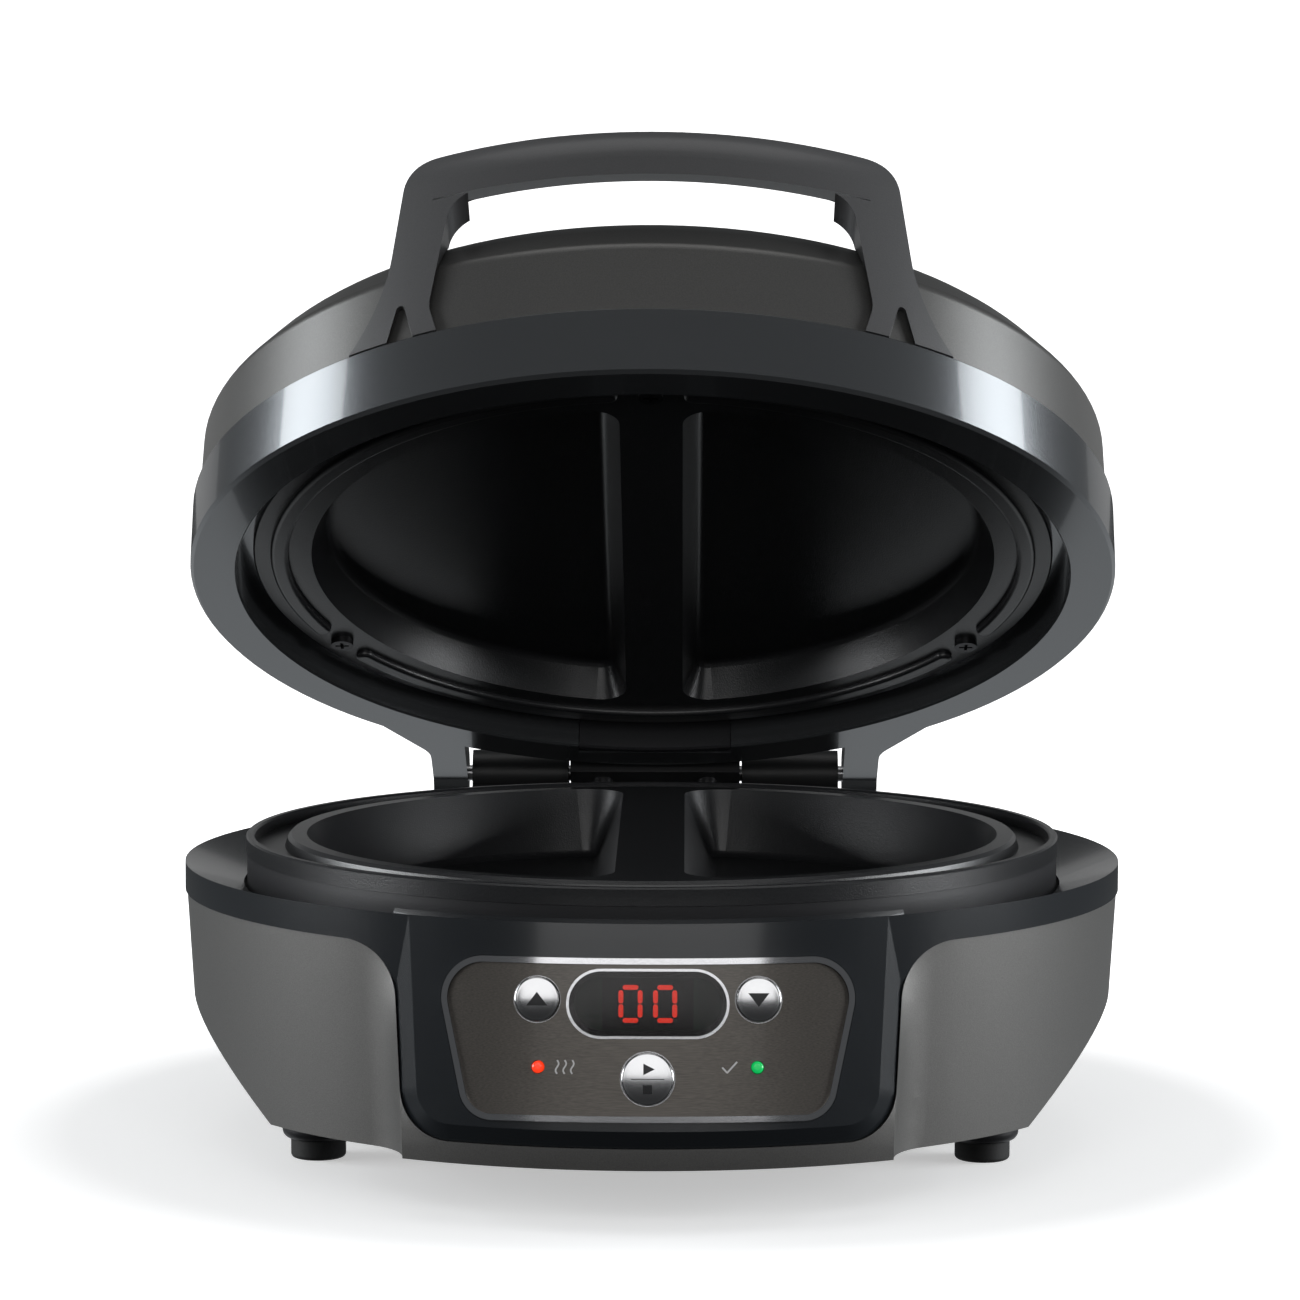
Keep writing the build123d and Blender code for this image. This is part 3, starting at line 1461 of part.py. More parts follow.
with BuildPart() as lid_shell:
    revolve(dome_section(0, lid_band_height + 0.1), axis=spin(lid))
    revolve(dome_section(-dome_sheet, 0), axis=spin(lid), mode=Mode.SUBTRACT)
    revolve(
        section(
            lid,
            (dome_foot_radius - dome_sheet - 1.6, skirt_low),
            (deck_radius - 2.6 - seam, skirt_low),
            (deck_radius - 2.6 - seam, lid_band_height + 1),
            (dome_foot_radius - dome_sheet - 1.6, lid_band_height + 2.5),
        ),
        axis=spin(lid),
    )
    add(dome_bosses.part)
    for hole in planes_at(lid, handle_screw_seat, handle_screw_places):
        with BuildSketch(hole):
            Circle(shank_radius + thread_clearance)
        extrude(amount=20, mode=Mode.SUBTRACT)
    for hole in around(lid, ledge_low + lid_boss_height, lid_screw_radius, *lid_screw_angles):
        with BuildSketch(hole):
            Circle(shank_radius + thread_clearance)
        extrude(amount=14, mode=Mode.SUBTRACT)
lid_shell.part.label = "lid_shell"
export_step(lid_shell.part, "parts/lid_shell.step")

lid_screws = screws(
    facing_down(around(lid, shell_screw_seat, lid_screw_radius, *lid_screw_angles)),
    head_radius,
    head_height,
    shank_radius,
    13.0,
)
lid_screws.label = "lid_screws"
export_step(lid_screws, "parts/lid_screws.step")

# ---- handle ----------------------------------------------------------------------------
# A bail that follows the front of the lid, rounded above its crease, with splayed feet.
handle_foot = lid_band_height + 0.2
handle_back_radius = handle_front_radius - handle_depth
grip_low = handle_top_height - handle_grip_height
crease_height = handle_top_height - handle_crease
inner_top_half_width = handle_top_half_width - handle_leg_width
inner_waist_half_width = handle_waist_half_width - handle_leg_width + 1.2
waist_height = 46.0
underside_rise = 6.0            # how much the underside of the grip rises towards the back
recess_half_width = 3.9
recess_middle = 68.6
recess_top = 33.5


def handle_window(grow):
    """Front view of the opening under the grip, from below the feet up."""
    low = handle_foot - 1
    with BuildSketch(upright(lid)) as opening:
        with BuildLine():
            FilletPolyline(
                (inner_waist_half_width - 2.6 + grow, low),
                (inner_waist_half_width + grow, handle_foot + 8),
                (inner_top_half_width + grow, grip_low + grow),
                (-inner_top_half_width - grow, grip_low + grow),
                (-inner_waist_half_width - grow, handle_foot + 8),
                (-inner_waist_half_width + 2.6 - grow, low),
                radius=[0, 10, handle_inner_corner + grow, handle_inner_corner + grow, 10, 0],
                close=True,
            )
        make_face()
    return opening.sketch


def handle_outline():
    """Front view of the handle's outside: a rounded top on legs that splay at the feet."""
    with BuildSketch(upright(lid)) as outline:
        with BuildLine():
            FilletPolyline(
                (handle_waist_half_width, waist_height),
                (handle_top_half_width, handle_top_height),
                (-handle_top_half_width, handle_top_height),
                (-handle_waist_half_width, waist_height),
                radius=handle_outer_corner,
            )
            TangentArc(
                (handle_waist_half_width, waist_height),
                (handle_foot_half_width, handle_foot),
                tangent=(handle_waist_half_width - handle_top_half_width, waist_height - handle_top_height),
            )
            TangentArc(
                (-handle_waist_half_width, waist_height),
                (-handle_foot_half_width, handle_foot),
                tangent=(handle_top_half_width - handle_waist_half_width, waist_height - handle_top_height),
            )
            Line((handle_foot_half_width, handle_foot), (-handle_foot_half_width, handle_foot))
        make_face()
    return outline.sketch


with BuildPart() as grip_relief:
    extrude(handle_window(underside_rise), amount=handle_front_radius + 5)
    revolve(
        section(
            lid,
            (handle_front_radius + 1, grip_low - 0.4),
            (handle_back_radius - 2, grip_low + underside_rise + 0.9),
            (handle_back_radius - 2, grip_low - 0.4),
        ),
        axis=spin(lid),
        mode=Mode.INTERSECT,
    )

with BuildPart() as handle:
    extrude(handle_outline(), amount=handle_front_radius + 5)
    extrude(handle_window(0), amount=handle_front_radius + 5, mode=Mode.SUBTRACT)
    with BuildSketch(upright(lid)):
        with BuildLine():
            Polyline(
                (handle_back_radius + handle_back_bevel, handle_top_height),
                (handle_back_radius, handle_top_height - handle_back_bevel),
                (handle_back_radius, handle_foot),
                (handle_front_radius, handle_foot),
                (handle_front_radius, crease_height),
            )
            ThreePointArc(
                (handle_front_radius, crease_height),
                (handle_front_radius - crown_middle_setback, crease_height + crown_middle_rise),
                (handle_front_radius - crown_setback, handle_top_height),
            )
            Line(
                (handle_front_radius - crown_setback, handle_top_height),
                (handle_back_radius + handle_back_bevel, handle_top_height),
            )
        make_face()
    revolve(axis=spin(lid), mode=Mode.INTERSECT)
    add(grip_relief.part, mode=Mode.SUBTRACT)
    revolve(dome_section(0.15, 0), axis=spin(lid), mode=Mode.SUBTRACT)
    with BuildSketch(upright(lid)):
        for middle in (-recess_middle, recess_middle):
            with BuildLine():
                FilletPolyline(
                    (middle - recess_half_width, handle_foot - 1),
                    (middle + recess_half_width, handle_foot - 1),
                    (middle, recess_top),
                    radius=[0, 0, 1.2],
                    close=True,
                )
            make_face()
    extrude(amount=handle_front_radius + 5, mode=Mode.SUBTRACT)
    for hole in planes_at(lid, handle_screw_seat, handle_screw_places):
        with BuildSketch(hole):
            Circle(shank_radius + thread_clearance)
        extrude(amount=18, mode=Mode.SUBTRACT)
handle.part.label = "handle"
export_step(handle.part, "parts/handle.step")

handle_screws = screws(
    planes_at(lid, handle_screw_seat, handle_screw_places, -1),
    head_radius,
    head_height,
    shank_radius,
    17.0,
)
handle_screws.label = "handle_screws"
export_step(handle_screws, "parts/handle_screws.step")

# ---- upper plate -----------------------------------------------------------------------
crimp_width = crimp_outer_radius - crimp_inner_radius
crimp_middle = (crimp_inner_radius + crimp_outer_radius) / 2
crimp_turn = degrees(asin((crimp_break + crimp_width / 2) / crimp_middle))

with BuildPart() as upper_pockets:
    extrude(
        pocket_pair(lid.offset(upper_plate_recess), upper_divider, upper_pocket_depth, 0),
        amount=upper_pocket_depth,
        taper=pocket_draft,
    )
    fillet(upper_pockets.edges().group_by(Axis(lid.origin, lid.z_dir))[-1], pocket_floor_round)



def on_circle(radius, angle):
    """Point at a radius and an angle in degrees."""
    return (radius * cos(radians(angle)), radius * sin(radians(angle)))


with BuildPart() as crimp_beads:
    with BuildSketch(lid.offset(upper_plate_recess + 0.2)):
        Circle(crimp_outer_radius)
        Circle(crimp_inner_radius, mode=Mode.SUBTRACT)
        for angle in upper_screw_angles:
            Polygon(
                (0, 0),
                on_circle(1.5 * crimp_outer_radius, angle - crimp_turn),
                on_circle(1.5 * crimp_outer_radius, angle + crimp_turn),
                align=None,
                mode=Mode.SUBTRACT,
            )
        with Locations(
            *[
                on_circle(crimp_middle, angle + x * crimp_turn)
                for angle in upper_screw_angles
                for x in (-1, 1)
            ]
        ):
            Circle(crimp_width / 2)
    extrude(amount=-crimp_height - 0.2)
    fillet(crimp_beads.edges().group_by(Axis(lid.origin, lid.z_dir))[0], 1.3)

with BuildPart() as upper_plate:
    revolve(
        section(
            lid,
            (0, upper_plate_recess),
            (upper_plate_radius - 0.5, upper_plate_recess),
            (upper_plate_radius, upper_plate_recess + 0.5),
            (upper_plate_radius, plate_back),
            (0, plate_back),
        ),
        axis=spin(lid),
    )
    add(crimp_beads.part)
    extrude(
        pocket_pair(lid.offset(plate_back), upper_divider, upper_pocket_depth, pan_grow),
        amount=upper_pocket_depth,
        taper=pocket_draft,
    )
    add(upper_pockets.part, mode=Mode.SUBTRACT)
    for hole in around(lid, upper_plate_recess - 1, plate_screw_radius, *upper_screw_angles):
        with BuildSketch(hole):
            Circle(shank_radius + thread_clearance)
        extrude(amount=plate_wall + 2, mode=Mode.SUBTRACT)
upper_plate.part.label = "upper_plate"
export_step(upper_plate.part, "parts/upper_plate.step")

upper_plate_screws = screws(
    facing_down(around(lid, upper_plate_recess, plate_screw_radius, *upper_screw_angles)),
    3.4,
    crimp_height,
    shank_radius,
    9.5,
)
upper_plate_screws.label = "upper_plate_screws"
export_step(upper_plate_screws, "parts/upper_plate_screws.step")

# ---- upper heater ----------------------------------------------------------------------
upper_pan_floor = plate_back + upper_pocket_depth
upper_element_height = upper_pan_floor + element_tube_radius + element_gap
upper_shield_floor = upper_element_height + element_tube_radius + 6.0

with BuildPart() as upper_heat_shield:
    revolve(
        heat_shield(lid, ledge_high + 0.1, upper_shield_floor, shield_radius + 5, -1), axis=spin(lid)
    )
    for hole in around(lid, ledge_high, plate_screw_radius, *upper_screw_angles):
        with BuildSketch(hole):
            Circle(plate_boss_radius + 0.4)
        extrude(amount=2, mode=Mode.SUBTRACT)
    for hole in around(lid, upper_shield_floor - 1, element_radius, *element_ends):
        with BuildSketch(hole):
            Circle(terminal_radius + 1.2)
        extrude(amount=3, mode=Mode.SUBTRACT)
upper_heat_shield.part.label = "upper_heat_shield"
export_step(upper_heat_shield.part, "parts/upper_heat_shield.step")

upper_element = tube_element(lid, upper_element_height, 1)
upper_element.label = "upper_element"
export_step(upper_element, "parts/upper_element.step")

with BuildPart() as upper_thermostat:
    with BuildSketch(lid.offset(plate_back)):
        RectangleRounded(thermostat_width, thermostat_length, 2)
    extrude(amount=thermostat_height)
    with BuildSketch(lid.offset(plate_back + thermostat_height)):
        with GridLocations(0, thermostat_length / 2, 1, 2):
            Rectangle(tab_width, tab_thickness)
    extrude(amount=7)
upper_thermostat.part.label = "upper_thermostat"
export_step(upper_thermostat.part, "parts/upper_thermostat.step")
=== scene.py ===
import math

import bmesh
import bpy
import numpy as np
from mathutils import Euler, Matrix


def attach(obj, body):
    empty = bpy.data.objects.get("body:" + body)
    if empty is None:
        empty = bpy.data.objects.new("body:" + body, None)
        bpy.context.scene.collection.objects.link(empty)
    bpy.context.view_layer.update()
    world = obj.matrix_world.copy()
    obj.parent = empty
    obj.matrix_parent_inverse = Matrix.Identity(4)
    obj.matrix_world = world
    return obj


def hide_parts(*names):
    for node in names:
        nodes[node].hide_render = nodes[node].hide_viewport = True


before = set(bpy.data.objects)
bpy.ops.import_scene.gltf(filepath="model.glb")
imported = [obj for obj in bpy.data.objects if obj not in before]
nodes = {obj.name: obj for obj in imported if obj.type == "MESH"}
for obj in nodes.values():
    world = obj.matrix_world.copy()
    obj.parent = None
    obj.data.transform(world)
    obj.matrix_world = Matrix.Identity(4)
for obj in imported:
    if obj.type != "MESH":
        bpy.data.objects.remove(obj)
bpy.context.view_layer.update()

scene = bpy.context.scene

# ---- camera ----------------------------------------------------------------------------
# A long lens a little above the open lid's rim, almost straight in front of the panel.
camera_data = bpy.data.cameras.new("camera")
camera_data.sensor_width = 36.0
camera_data.lens = 134.5
camera_data.clip_start = 0.05
camera = bpy.data.objects.new("camera", camera_data)
camera.location = (0.0100, -1.4078, 0.2724)
camera.rotation_euler = (
    Euler((math.radians(90 - 5.39), 0, math.radians(0.435))).to_matrix()
    @ Euler((0, 0, math.radians(0.1))).to_matrix()
).to_euler()
scene.collection.objects.link(camera)
scene.camera = camera

# ---- studio ----------------------------------------------------------------------------
# A pale sweep under and behind the object, soft boxes overhead, in front and at the sides, high
# and low, and a thin strip behind.  The lamps themselves are out of the camera's sight.
scene.view_settings.view_transform = "Standard"
scene.view_settings.look = "None"

sweep_half_width = 4.0
sweep_front = -3.0
sweep_back = 2.2
sweep_round = 1.2
sweep_height = 4.5


def sweep_grid():
    """Floor line, then a quarter round of radius sweep_round, then a wall, carried straight across."""
    turn = np.linspace(0, math.pi / 2, 17)
    wall = sweep_back + sweep_round
    y = np.concatenate([[sweep_front], sweep_back + sweep_round * np.sin(turn), [wall]])
    z = np.concatenate([[0], sweep_round * (1 - np.cos(turn)), [sweep_height]])
    across = np.array([-sweep_half_width, sweep_half_width])
    grid = np.stack(np.broadcast_arrays(across[:, None], y[None, :], z[None, :]), axis=-1)
    return grid


def grid_mesh(name, grid, closed_u=False, closed_v=False):
    """A mesh of four-sided faces over a grid of points indexed (u, v)."""
    count_u, count_v = grid.shape[:2]
    index = np.arange(count_u * count_v).reshape(count_u, count_v)
    u = np.arange(count_u if closed_u else count_u - 1)
    v = np.arange(count_v if closed_v else count_v - 1)
    u2, v2 = (u + 1) % count_u, (v + 1) % count_v
    faces = np.stack(
        [index[u][:, v], index[u2][:, v], index[u2][:, v2], index[u][:, v2]], axis=-1
    ).reshape(-1, 4)
    mesh = bpy.data.meshes.new(name)
    mesh.from_pydata(grid.reshape(-1, 3).tolist(), [], faces.tolist())
    mesh.shade_smooth()
    return mesh


def surface(name, mesh, material):
    """An object made from a mesh at the origin, with one material."""
    piece = bpy.data.objects.new(name, mesh)
    mesh.materials.append(material)
    scene.collection.objects.link(piece)
    return piece


# The paper shines a little by itself, more away from the object, so that it stays pale.
sweep_paper = bpy.data.materials.new("sweep_paper")
sweep_paper.use_nodes = True
paper_nodes = sweep_paper.node_tree.nodes
paper_shader = paper_nodes["Principled BSDF"]
paper_shader.inputs["Base Color"].default_value = (0.8, 0.8, 0.8, 1)
paper_shader.inputs["Roughness"].default_value = 0.9
paper_shader.inputs["Specular IOR Level"].default_value = 0.1
paper_place = paper_nodes.new("ShaderNodeTexCoord")
paper_reach = paper_nodes.new("ShaderNodeVectorMath")
paper_reach.operation = "LENGTH"
paper_glow = paper_nodes.new("ShaderNodeMapRange")
paper_glow.inputs["From Min"].default_value = 0.17
paper_glow.inputs["From Max"].default_value = 0.27
paper_glow.inputs["To Min"].default_value = 0.46
paper_glow.inputs["To Max"].default_value = 1.25
paper_links = sweep_paper.node_tree.links
paper_links.new(paper_place.outputs["Object"], paper_reach.inputs[0])
paper_links.new(paper_reach.outputs["Value"], paper_glow.inputs["Value"])
paper_links.new(paper_glow.outputs["Result"], paper_shader.inputs["Emission Strength"])
paper_shader.inputs["Emission Color"].default_value = (1, 1, 1, 1)
sweep = surface("sweep", grid_mesh("sweep", sweep_grid()), sweep_paper)
sweep.visible_glossy = False
sweep.visible_diffuse = False

# The room is dim above the horizon and dark at it; below, it is pale only towards the back, as
# the table is where the object doesn't shade it.
world = bpy.data.worlds.new("studio")
world.use_nodes = True
room = world.node_tree
room_place = room.nodes.new("ShaderNodeTexCoord")
room_axes = room.nodes.new("ShaderNodeSeparateXYZ")
room_rise = room.nodes.new("ShaderNodeMapRange")
room_rise.inputs["From Min"].default_value = -1.0
room_rise.inputs["From Max"].default_value = 1.0
room_level = room.nodes.new("ShaderNodeValToRGB")
room_level.color_ramp.elements[0].position = 0.1
room_level.color_ramp.elements[0].color = (0.03, 0.03, 0.03, 1)
room_level.color_ramp.elements[1].position = 0.62
room_level.color_ramp.elements[1].color = (0.09, 0.09, 0.09, 1)
room_dark = room_level.color_ramp.elements.new(0.42)
room_dark.color = (0.03, 0.03, 0.03, 1)
room.links.new(room_place.outputs["Generated"], room_axes.inputs["Vector"])
room.links.new(room_axes.outputs["Z"], room_rise.inputs["Value"])
room.links.new(room_rise.outputs["Result"], room_level.inputs["Fac"])
room.nodes["Background"].inputs["Color"].default_value = (0.93, 0.97, 1.0, 1)
room_far = room.nodes.new("ShaderNodeMapRange")
room_far.inputs["From Min"].default_value = 0.12
room_far.inputs["From Max"].default_value = 0.45
room_far.inputs["To Max"].default_value = 0.5
room_low = room.nodes.new("ShaderNodeMapRange")
room_low.inputs["From Min"].default_value = -0.12
room_low.inputs["From Max"].default_value = -0.45
room.links.new(room_axes.outputs["Y"], room_far.inputs["Value"])
room.links.new(room_axes.outputs["Z"], room_low.inputs["Value"])
room_table = room.nodes.new("ShaderNodeMath")
room_table.operation = "MULTIPLY_ADD"
room.links.new(room_far.outputs["Result"], room_table.inputs[0])
room.links.new(room_low.outputs["Result"], room_table.inputs[1])
room.links.new(room_level.outputs["Color"], room_table.inputs[2])
room.links.new(room_table.outputs[0], room.nodes["Background"].inputs["Strength"])
scene.world = world


def soft_box(name, place, target, width, height, watts, tint=(1, 1, 1)):
    """An area light at a place, facing a target."""
    light = bpy.data.lights.new(name, "AREA")
    light.shape = "RECTANGLE"
    light.size = width
    light.size_y = height
    light.energy = watts
    light.color = tint
    lamp = bpy.data.objects.new(name, light)
    lamp.location = place
    aim = np.array(target) - np.array(place)
    flat = math.hypot(aim[0], aim[1])
    lamp.rotation_euler = (math.atan2(flat, -aim[2]), 0, math.atan2(-aim[0], aim[1]))
    lamp.visible_camera = False
    scene.collection.objects.link(lamp)


soft_box("overhead", (0, 0.15, 1.7), (0, 0, 0), 1.5, 1.1, 4.5)
soft_box("left_box", (-1.35, 0.3, 0.55), (0, 0, 0.15), 0.42, 0.7, 6.0, (0.93, 0.97, 1.0))
soft_box("right_box", (1.35, 0.3, 0.55), (0, 0, 0.15), 0.42, 0.7, 6.0, (0.93, 0.97, 1.0))
soft_box("left_low_box", (-2.1, -0.25, 0.4), (0, 0, 0.08), 1.1, 0.75, 22, (0.96, 0.98, 1.0))
soft_box("right_low_box", (2.1, -0.25, 0.4), (0, 0, 0.08), 1.1, 0.75, 28, (0.96, 0.98, 1.0))
soft_box("front_box", (0, -2.0, 1.05), (0, 0, 0.1), 2.2, 1.4, 13)
soft_box("back_strip", (0, 1.9, 0.32), (0, 0, 0.1), 3.2, 0.45, 1.2)

# ---- base shell ------------------------------------------------------------------------
# The body's pressed and painted steel side with its floor.  Warm grey stoved paint with a
# fine metallic grain; the four deck posts are screwed down through the floor.
flake_group = bpy.data.node_groups.new("paint_flake", "ShaderNodeTree")
flake_group.interface.new_socket("Shade", in_out="INPUT", socket_type="NodeSocketColor")
flake_group.interface.new_socket("Scale", in_out="INPUT", socket_type="NodeSocketFloat")
flake_group.interface.new_socket("Spread", in_out="INPUT", socket_type="NodeSocketFloat")
flake_group.interface.new_socket("Dullness", in_out="INPUT", socket_type="NodeSocketFloat")
flake_group.interface.new_socket("Color", in_out="OUTPUT", socket_type="NodeSocketColor")
flake_group.interface.new_socket("Roughness", in_out="OUTPUT", socket_type="NodeSocketFloat")
flake_group.interface.new_socket("Height", in_out="OUTPUT", socket_type="NodeSocketFloat")


def join(tree, source, output, target, socket):
    """Links one node's named output to another's named input."""
    tree.links.new(source.outputs[output], target.inputs[socket])


def fill_flake_group(tree):
    """Object-space noise at two scales: fine grain shades the colour and raises a height, and a
    broad cloud, as polish varies over a surface, shifts the roughness."""
    make = tree.nodes.new
    given, out = make("NodeGroupInput"), make("NodeGroupOutput")
    place = make("ShaderNodeTexCoord")
    grain = make("ShaderNodeTexNoise")
    grain.inputs["Detail"].default_value = 2.0
    cloud = make("ShaderNodeTexNoise")
    cloud.inputs["Scale"].default_value = 9.0
    cloud.inputs["Detail"].default_value = 3.0
    join(tree, place, "Object", grain, "Vector")
    join(tree, place, "Object", cloud, "Vector")
    join(tree, given, "Scale", grain, "Scale")
    centred = make("ShaderNodeMath")
    centred.operation = "SUBTRACT"
    centred.inputs[1].default_value = 0.5
    tree.links.new(grain.outputs["Fac"], centred.inputs[0])
    gain = make("ShaderNodeMath")
    gain.operation = "MULTIPLY_ADD"
    gain.inputs[2].default_value = 1.0
    tree.links.new(centred.outputs[0], gain.inputs[0])
    tree.links.new(given.outputs["Spread"], gain.inputs[1])
    tone = make("ShaderNodeMix")
    tone.data_type = "RGBA"
    tone.blend_type = "MULTIPLY"
    tone.inputs["Factor"].default_value = 1.0
    tree.links.new(given.outputs["Shade"], tone.inputs[6])
    tree.links.new(gain.outputs[0], tone.inputs[7])
    tree.links.new(tone.outputs[2], out.inputs["Color"])
    polish = make("ShaderNodeMapRange")
    polish.inputs["To Min"].default_value = -0.035
    polish.inputs["To Max"].default_value = 0.035
    tree.links.new(cloud.outputs["Fac"], polish.inputs["Value"])
    rough = make("ShaderNodeMath")
    tree.links.new(given.outputs["Dullness"], rough.inputs[0])
    tree.links.new(polish.outputs["Result"], rough.inputs[1])
    tree.links.new(rough.outputs[0], out.inputs["Roughness"])
    tree.links.new(grain.outputs["Fac"], out.inputs["Height"])


fill_flake_group(flake_group)


def finish(name, shade, dullness, grain=2500.0, spread=0.3, relief=0.00002, metallic=0.0, coat=0.0,
           coat_dullness=0.1, specular=0.5):
    """A solid finish: colour and roughness from the paint_flake group, the rest set on the shader."""
    material = bpy.data.materials.new(name)
    material.use_nodes = True
    tree = material.node_tree
    shader = tree.nodes["Principled BSDF"]
    flake = tree.nodes.new("ShaderNodeGroup")
    flake.node_tree = flake_group
    flake.inputs["Shade"].default_value = (*shade, 1)
    flake.inputs["Scale"].default_value = grain
    flake.inputs["Spread"].default_value = spread
    flake.inputs["Dullness"].default_value = dullness
    bump = tree.nodes.new("ShaderNodeBump")
    bump.inputs["Strength"].default_value = 1.0
    bump.inputs["Distance"].default_value = relief
    join(tree, flake, "Color", shader, "Base Color")
    join(tree, flake, "Roughness", shader, "Roughness")
    join(tree, flake, "Height", bump, "Height")
    join(tree, bump, "Normal", shader, "Normal")
    shader.inputs["Metallic"].default_value = metallic
    shader.inputs["Coat Weight"].default_value = coat
    shader.inputs["Coat Roughness"].default_value = coat_dullness
    shader.inputs["Specular IOR Level"].default_value = specular
    return material


def dress(material, *names):
    """Gives CAD nodes a material."""
    for name in names:
        for place in nodes[name].material_slots:
            place.material = material


warm_grey_paint = finish(
    "warm_grey_paint", (0.19, 0.187, 0.181), 0.42, grain=3000, spread=0.5, relief=0.00003, metallic=0.7
)
dress(warm_grey_paint, "base_shell")

# ---- deck and fascia -------------------------------------------------------------------
# One moulding in dark, slightly blue ABS with a satin gloss: deck, band and fascia.
charcoal_moulding = finish(
    "charcoal_moulding", (0.014, 0.0165, 0.0195), 0.24, grain=1800, spread=0.25, relief=0.00001, coat=0.5,
    coat_dullness=0.12,
)
dress(charcoal_moulding, "deck_fascia")

# ---- control panel ---------------------------------------------------------------------
# Thin stainless sheet, brushed from side to side and tinted a warm grey, let into the
# fascia; its bead and the window's trim are polished chrome.
brushed_warm_steel = bpy.data.materials.new("brushed_warm_steel")
brushed_warm_steel.use_nodes = True


def brush(tree, stretch, shade, dark):
    """Noise drawn out along X, so each streak is a fine scratch; it shades colour and roughness."""
    shader = tree.nodes["Principled BSDF"]
    place = tree.nodes.new("ShaderNodeTexCoord")
    drawn = tree.nodes.new("ShaderNodeMapping")
    drawn.inputs["Scale"].default_value = stretch
    streaks = tree.nodes.new("ShaderNodeTexNoise")
    streaks.inputs["Scale"].default_value = 1.0
    streaks.inputs["Detail"].default_value = 4.0
    join(tree, place, "Object", drawn, "Vector")
    join(tree, drawn, "Vector", streaks, "Vector")
    tint = tree.nodes.new("ShaderNodeValToRGB")
    tint.color_ramp.elements[0].position = 0.3
    tint.color_ramp.elements[0].color = (*dark, 1)
    tint.color_ramp.elements[1].position = 0.7
    tint.color_ramp.elements[1].color = (*shade, 1)
    join(tree, streaks, "Fac", tint, "Fac")
    join(tree, tint, "Color", shader, "Base Color")
    rough = tree.nodes.new("ShaderNodeMapRange")
    rough.inputs["To Min"].default_value = 0.3
    rough.inputs["To Max"].default_value = 0.42
    join(tree, streaks, "Fac", rough, "Value")
    join(tree, rough, "Result", shader, "Roughness")
    bump = tree.nodes.new("ShaderNodeBump")
    bump.inputs["Distance"].default_value = 0.00001
    join(tree, streaks, "Fac", bump, "Height")
    join(tree, bump, "Normal", shader, "Normal")
    shader.inputs["Metallic"].default_value = 0.85
    shader.inputs["Coat Weight"].default_value = 0.3
    shader.inputs["Coat Roughness"].default_value = 0.08


brush(brushed_warm_steel.node_tree, (25, 4000, 4000), (0.17, 0.155, 0.14), (0.12, 0.11, 0.1))
dress(brushed_warm_steel, "control_panel")

bright_chrome = finish(
    "bright_chrome", (0.75, 0.75, 0.77), 0.12, grain=900, spread=0.06, relief=0.000004, metallic=1.0
)
dress(bright_chrome, "panel_bead", "window_trim")

# ---- display ---------------------------------------------------------------------------
# Smoked clear cover over a black two-digit module; the lit bars are red.
smoked_cover = finish(
    "smoked_cover", (0.25, 0.24, 0.24), 0.05, grain=600, spread=0.04, relief=0.000002, coat=0.3
)
smoked_cover.node_tree.nodes["Principled BSDF"].inputs["Transmission Weight"].default_value = 1.0
smoked_cover.node_tree.nodes["Principled BSDF"].inputs["IOR"].default_value = 1.3
dress(smoked_cover, "display_window")

module_black = finish("module_black", (0.012, 0.012, 0.013), 0.5, grain=1500, spread=0.3)
dress(module_black, "display_module")


def lit(name, shade, glow, strength):
    """A lit plastic: a solid finish that also glows."""
    material = finish(name, shade, 0.25, grain=1200, spread=0.1, relief=0.000003, coat=0.5)
    shader = material.node_tree.nodes["Principled BSDF"]
    shader.inputs["Emission Color"].default_value = (*glow, 1)
    shader.inputs["Emission Strength"].default_value = strength
    return material


lit_bar_red = lit("lit_bar_red", (0.7, 0.03, 0.02), (1.0, 0.045, 0.02), 2.2)
dress(lit_bar_red, "display_segments")
red_lens = lit("red_lens", (0.7, 0.03, 0.02), (1.0, 0.05, 0.01), 0.9)
green_lens = lit("green_lens", (0.02, 0.4, 0.1), (0.0, 0.6, 0.12), 0.6)
dress(red_lens, "heating_lamp")
dress(green_lens, "ready_lamp")

# ---- push buttons ----------------------------------------------------------------------
# Zinc caps, domed, nickel plated and satin polished, on stems with a retaining flange.  The
# arrows and the start and stop signs are printed on them in dark ink.
body_axis_y = -0.00784
face_lean = math.atan(9.0 / 53.6)
panel_height = 0.0515
panel_radius = 0.144 - (panel_height - 0.027) * 9.0 / 53.6
face_out = np.array([0, -math.cos(face_lean), math.sin(face_lean)])
face_up = np.array([0, math.sin(face_lean), math.cos(face_lean)])
face_right = np.array([1.0, 0, 0])
face_middle = np.array([0, body_axis_y - panel_radius, panel_height])


def on_face(x, y, out):
    """Points at (x, y) on the plane that touches the fascia at the panel centre, moved out of it."""
    x, y, out = np.broadcast_arrays(x, y, out)
    return face_middle + x[..., None] * face_right + y[..., None] * face_up + out[..., None] * face_out


def face_drop(x):
    """How far the round fascia falls back from that plane at a distance x to the side."""
    return panel_radius - np.sqrt(panel_radius**2 - x**2)


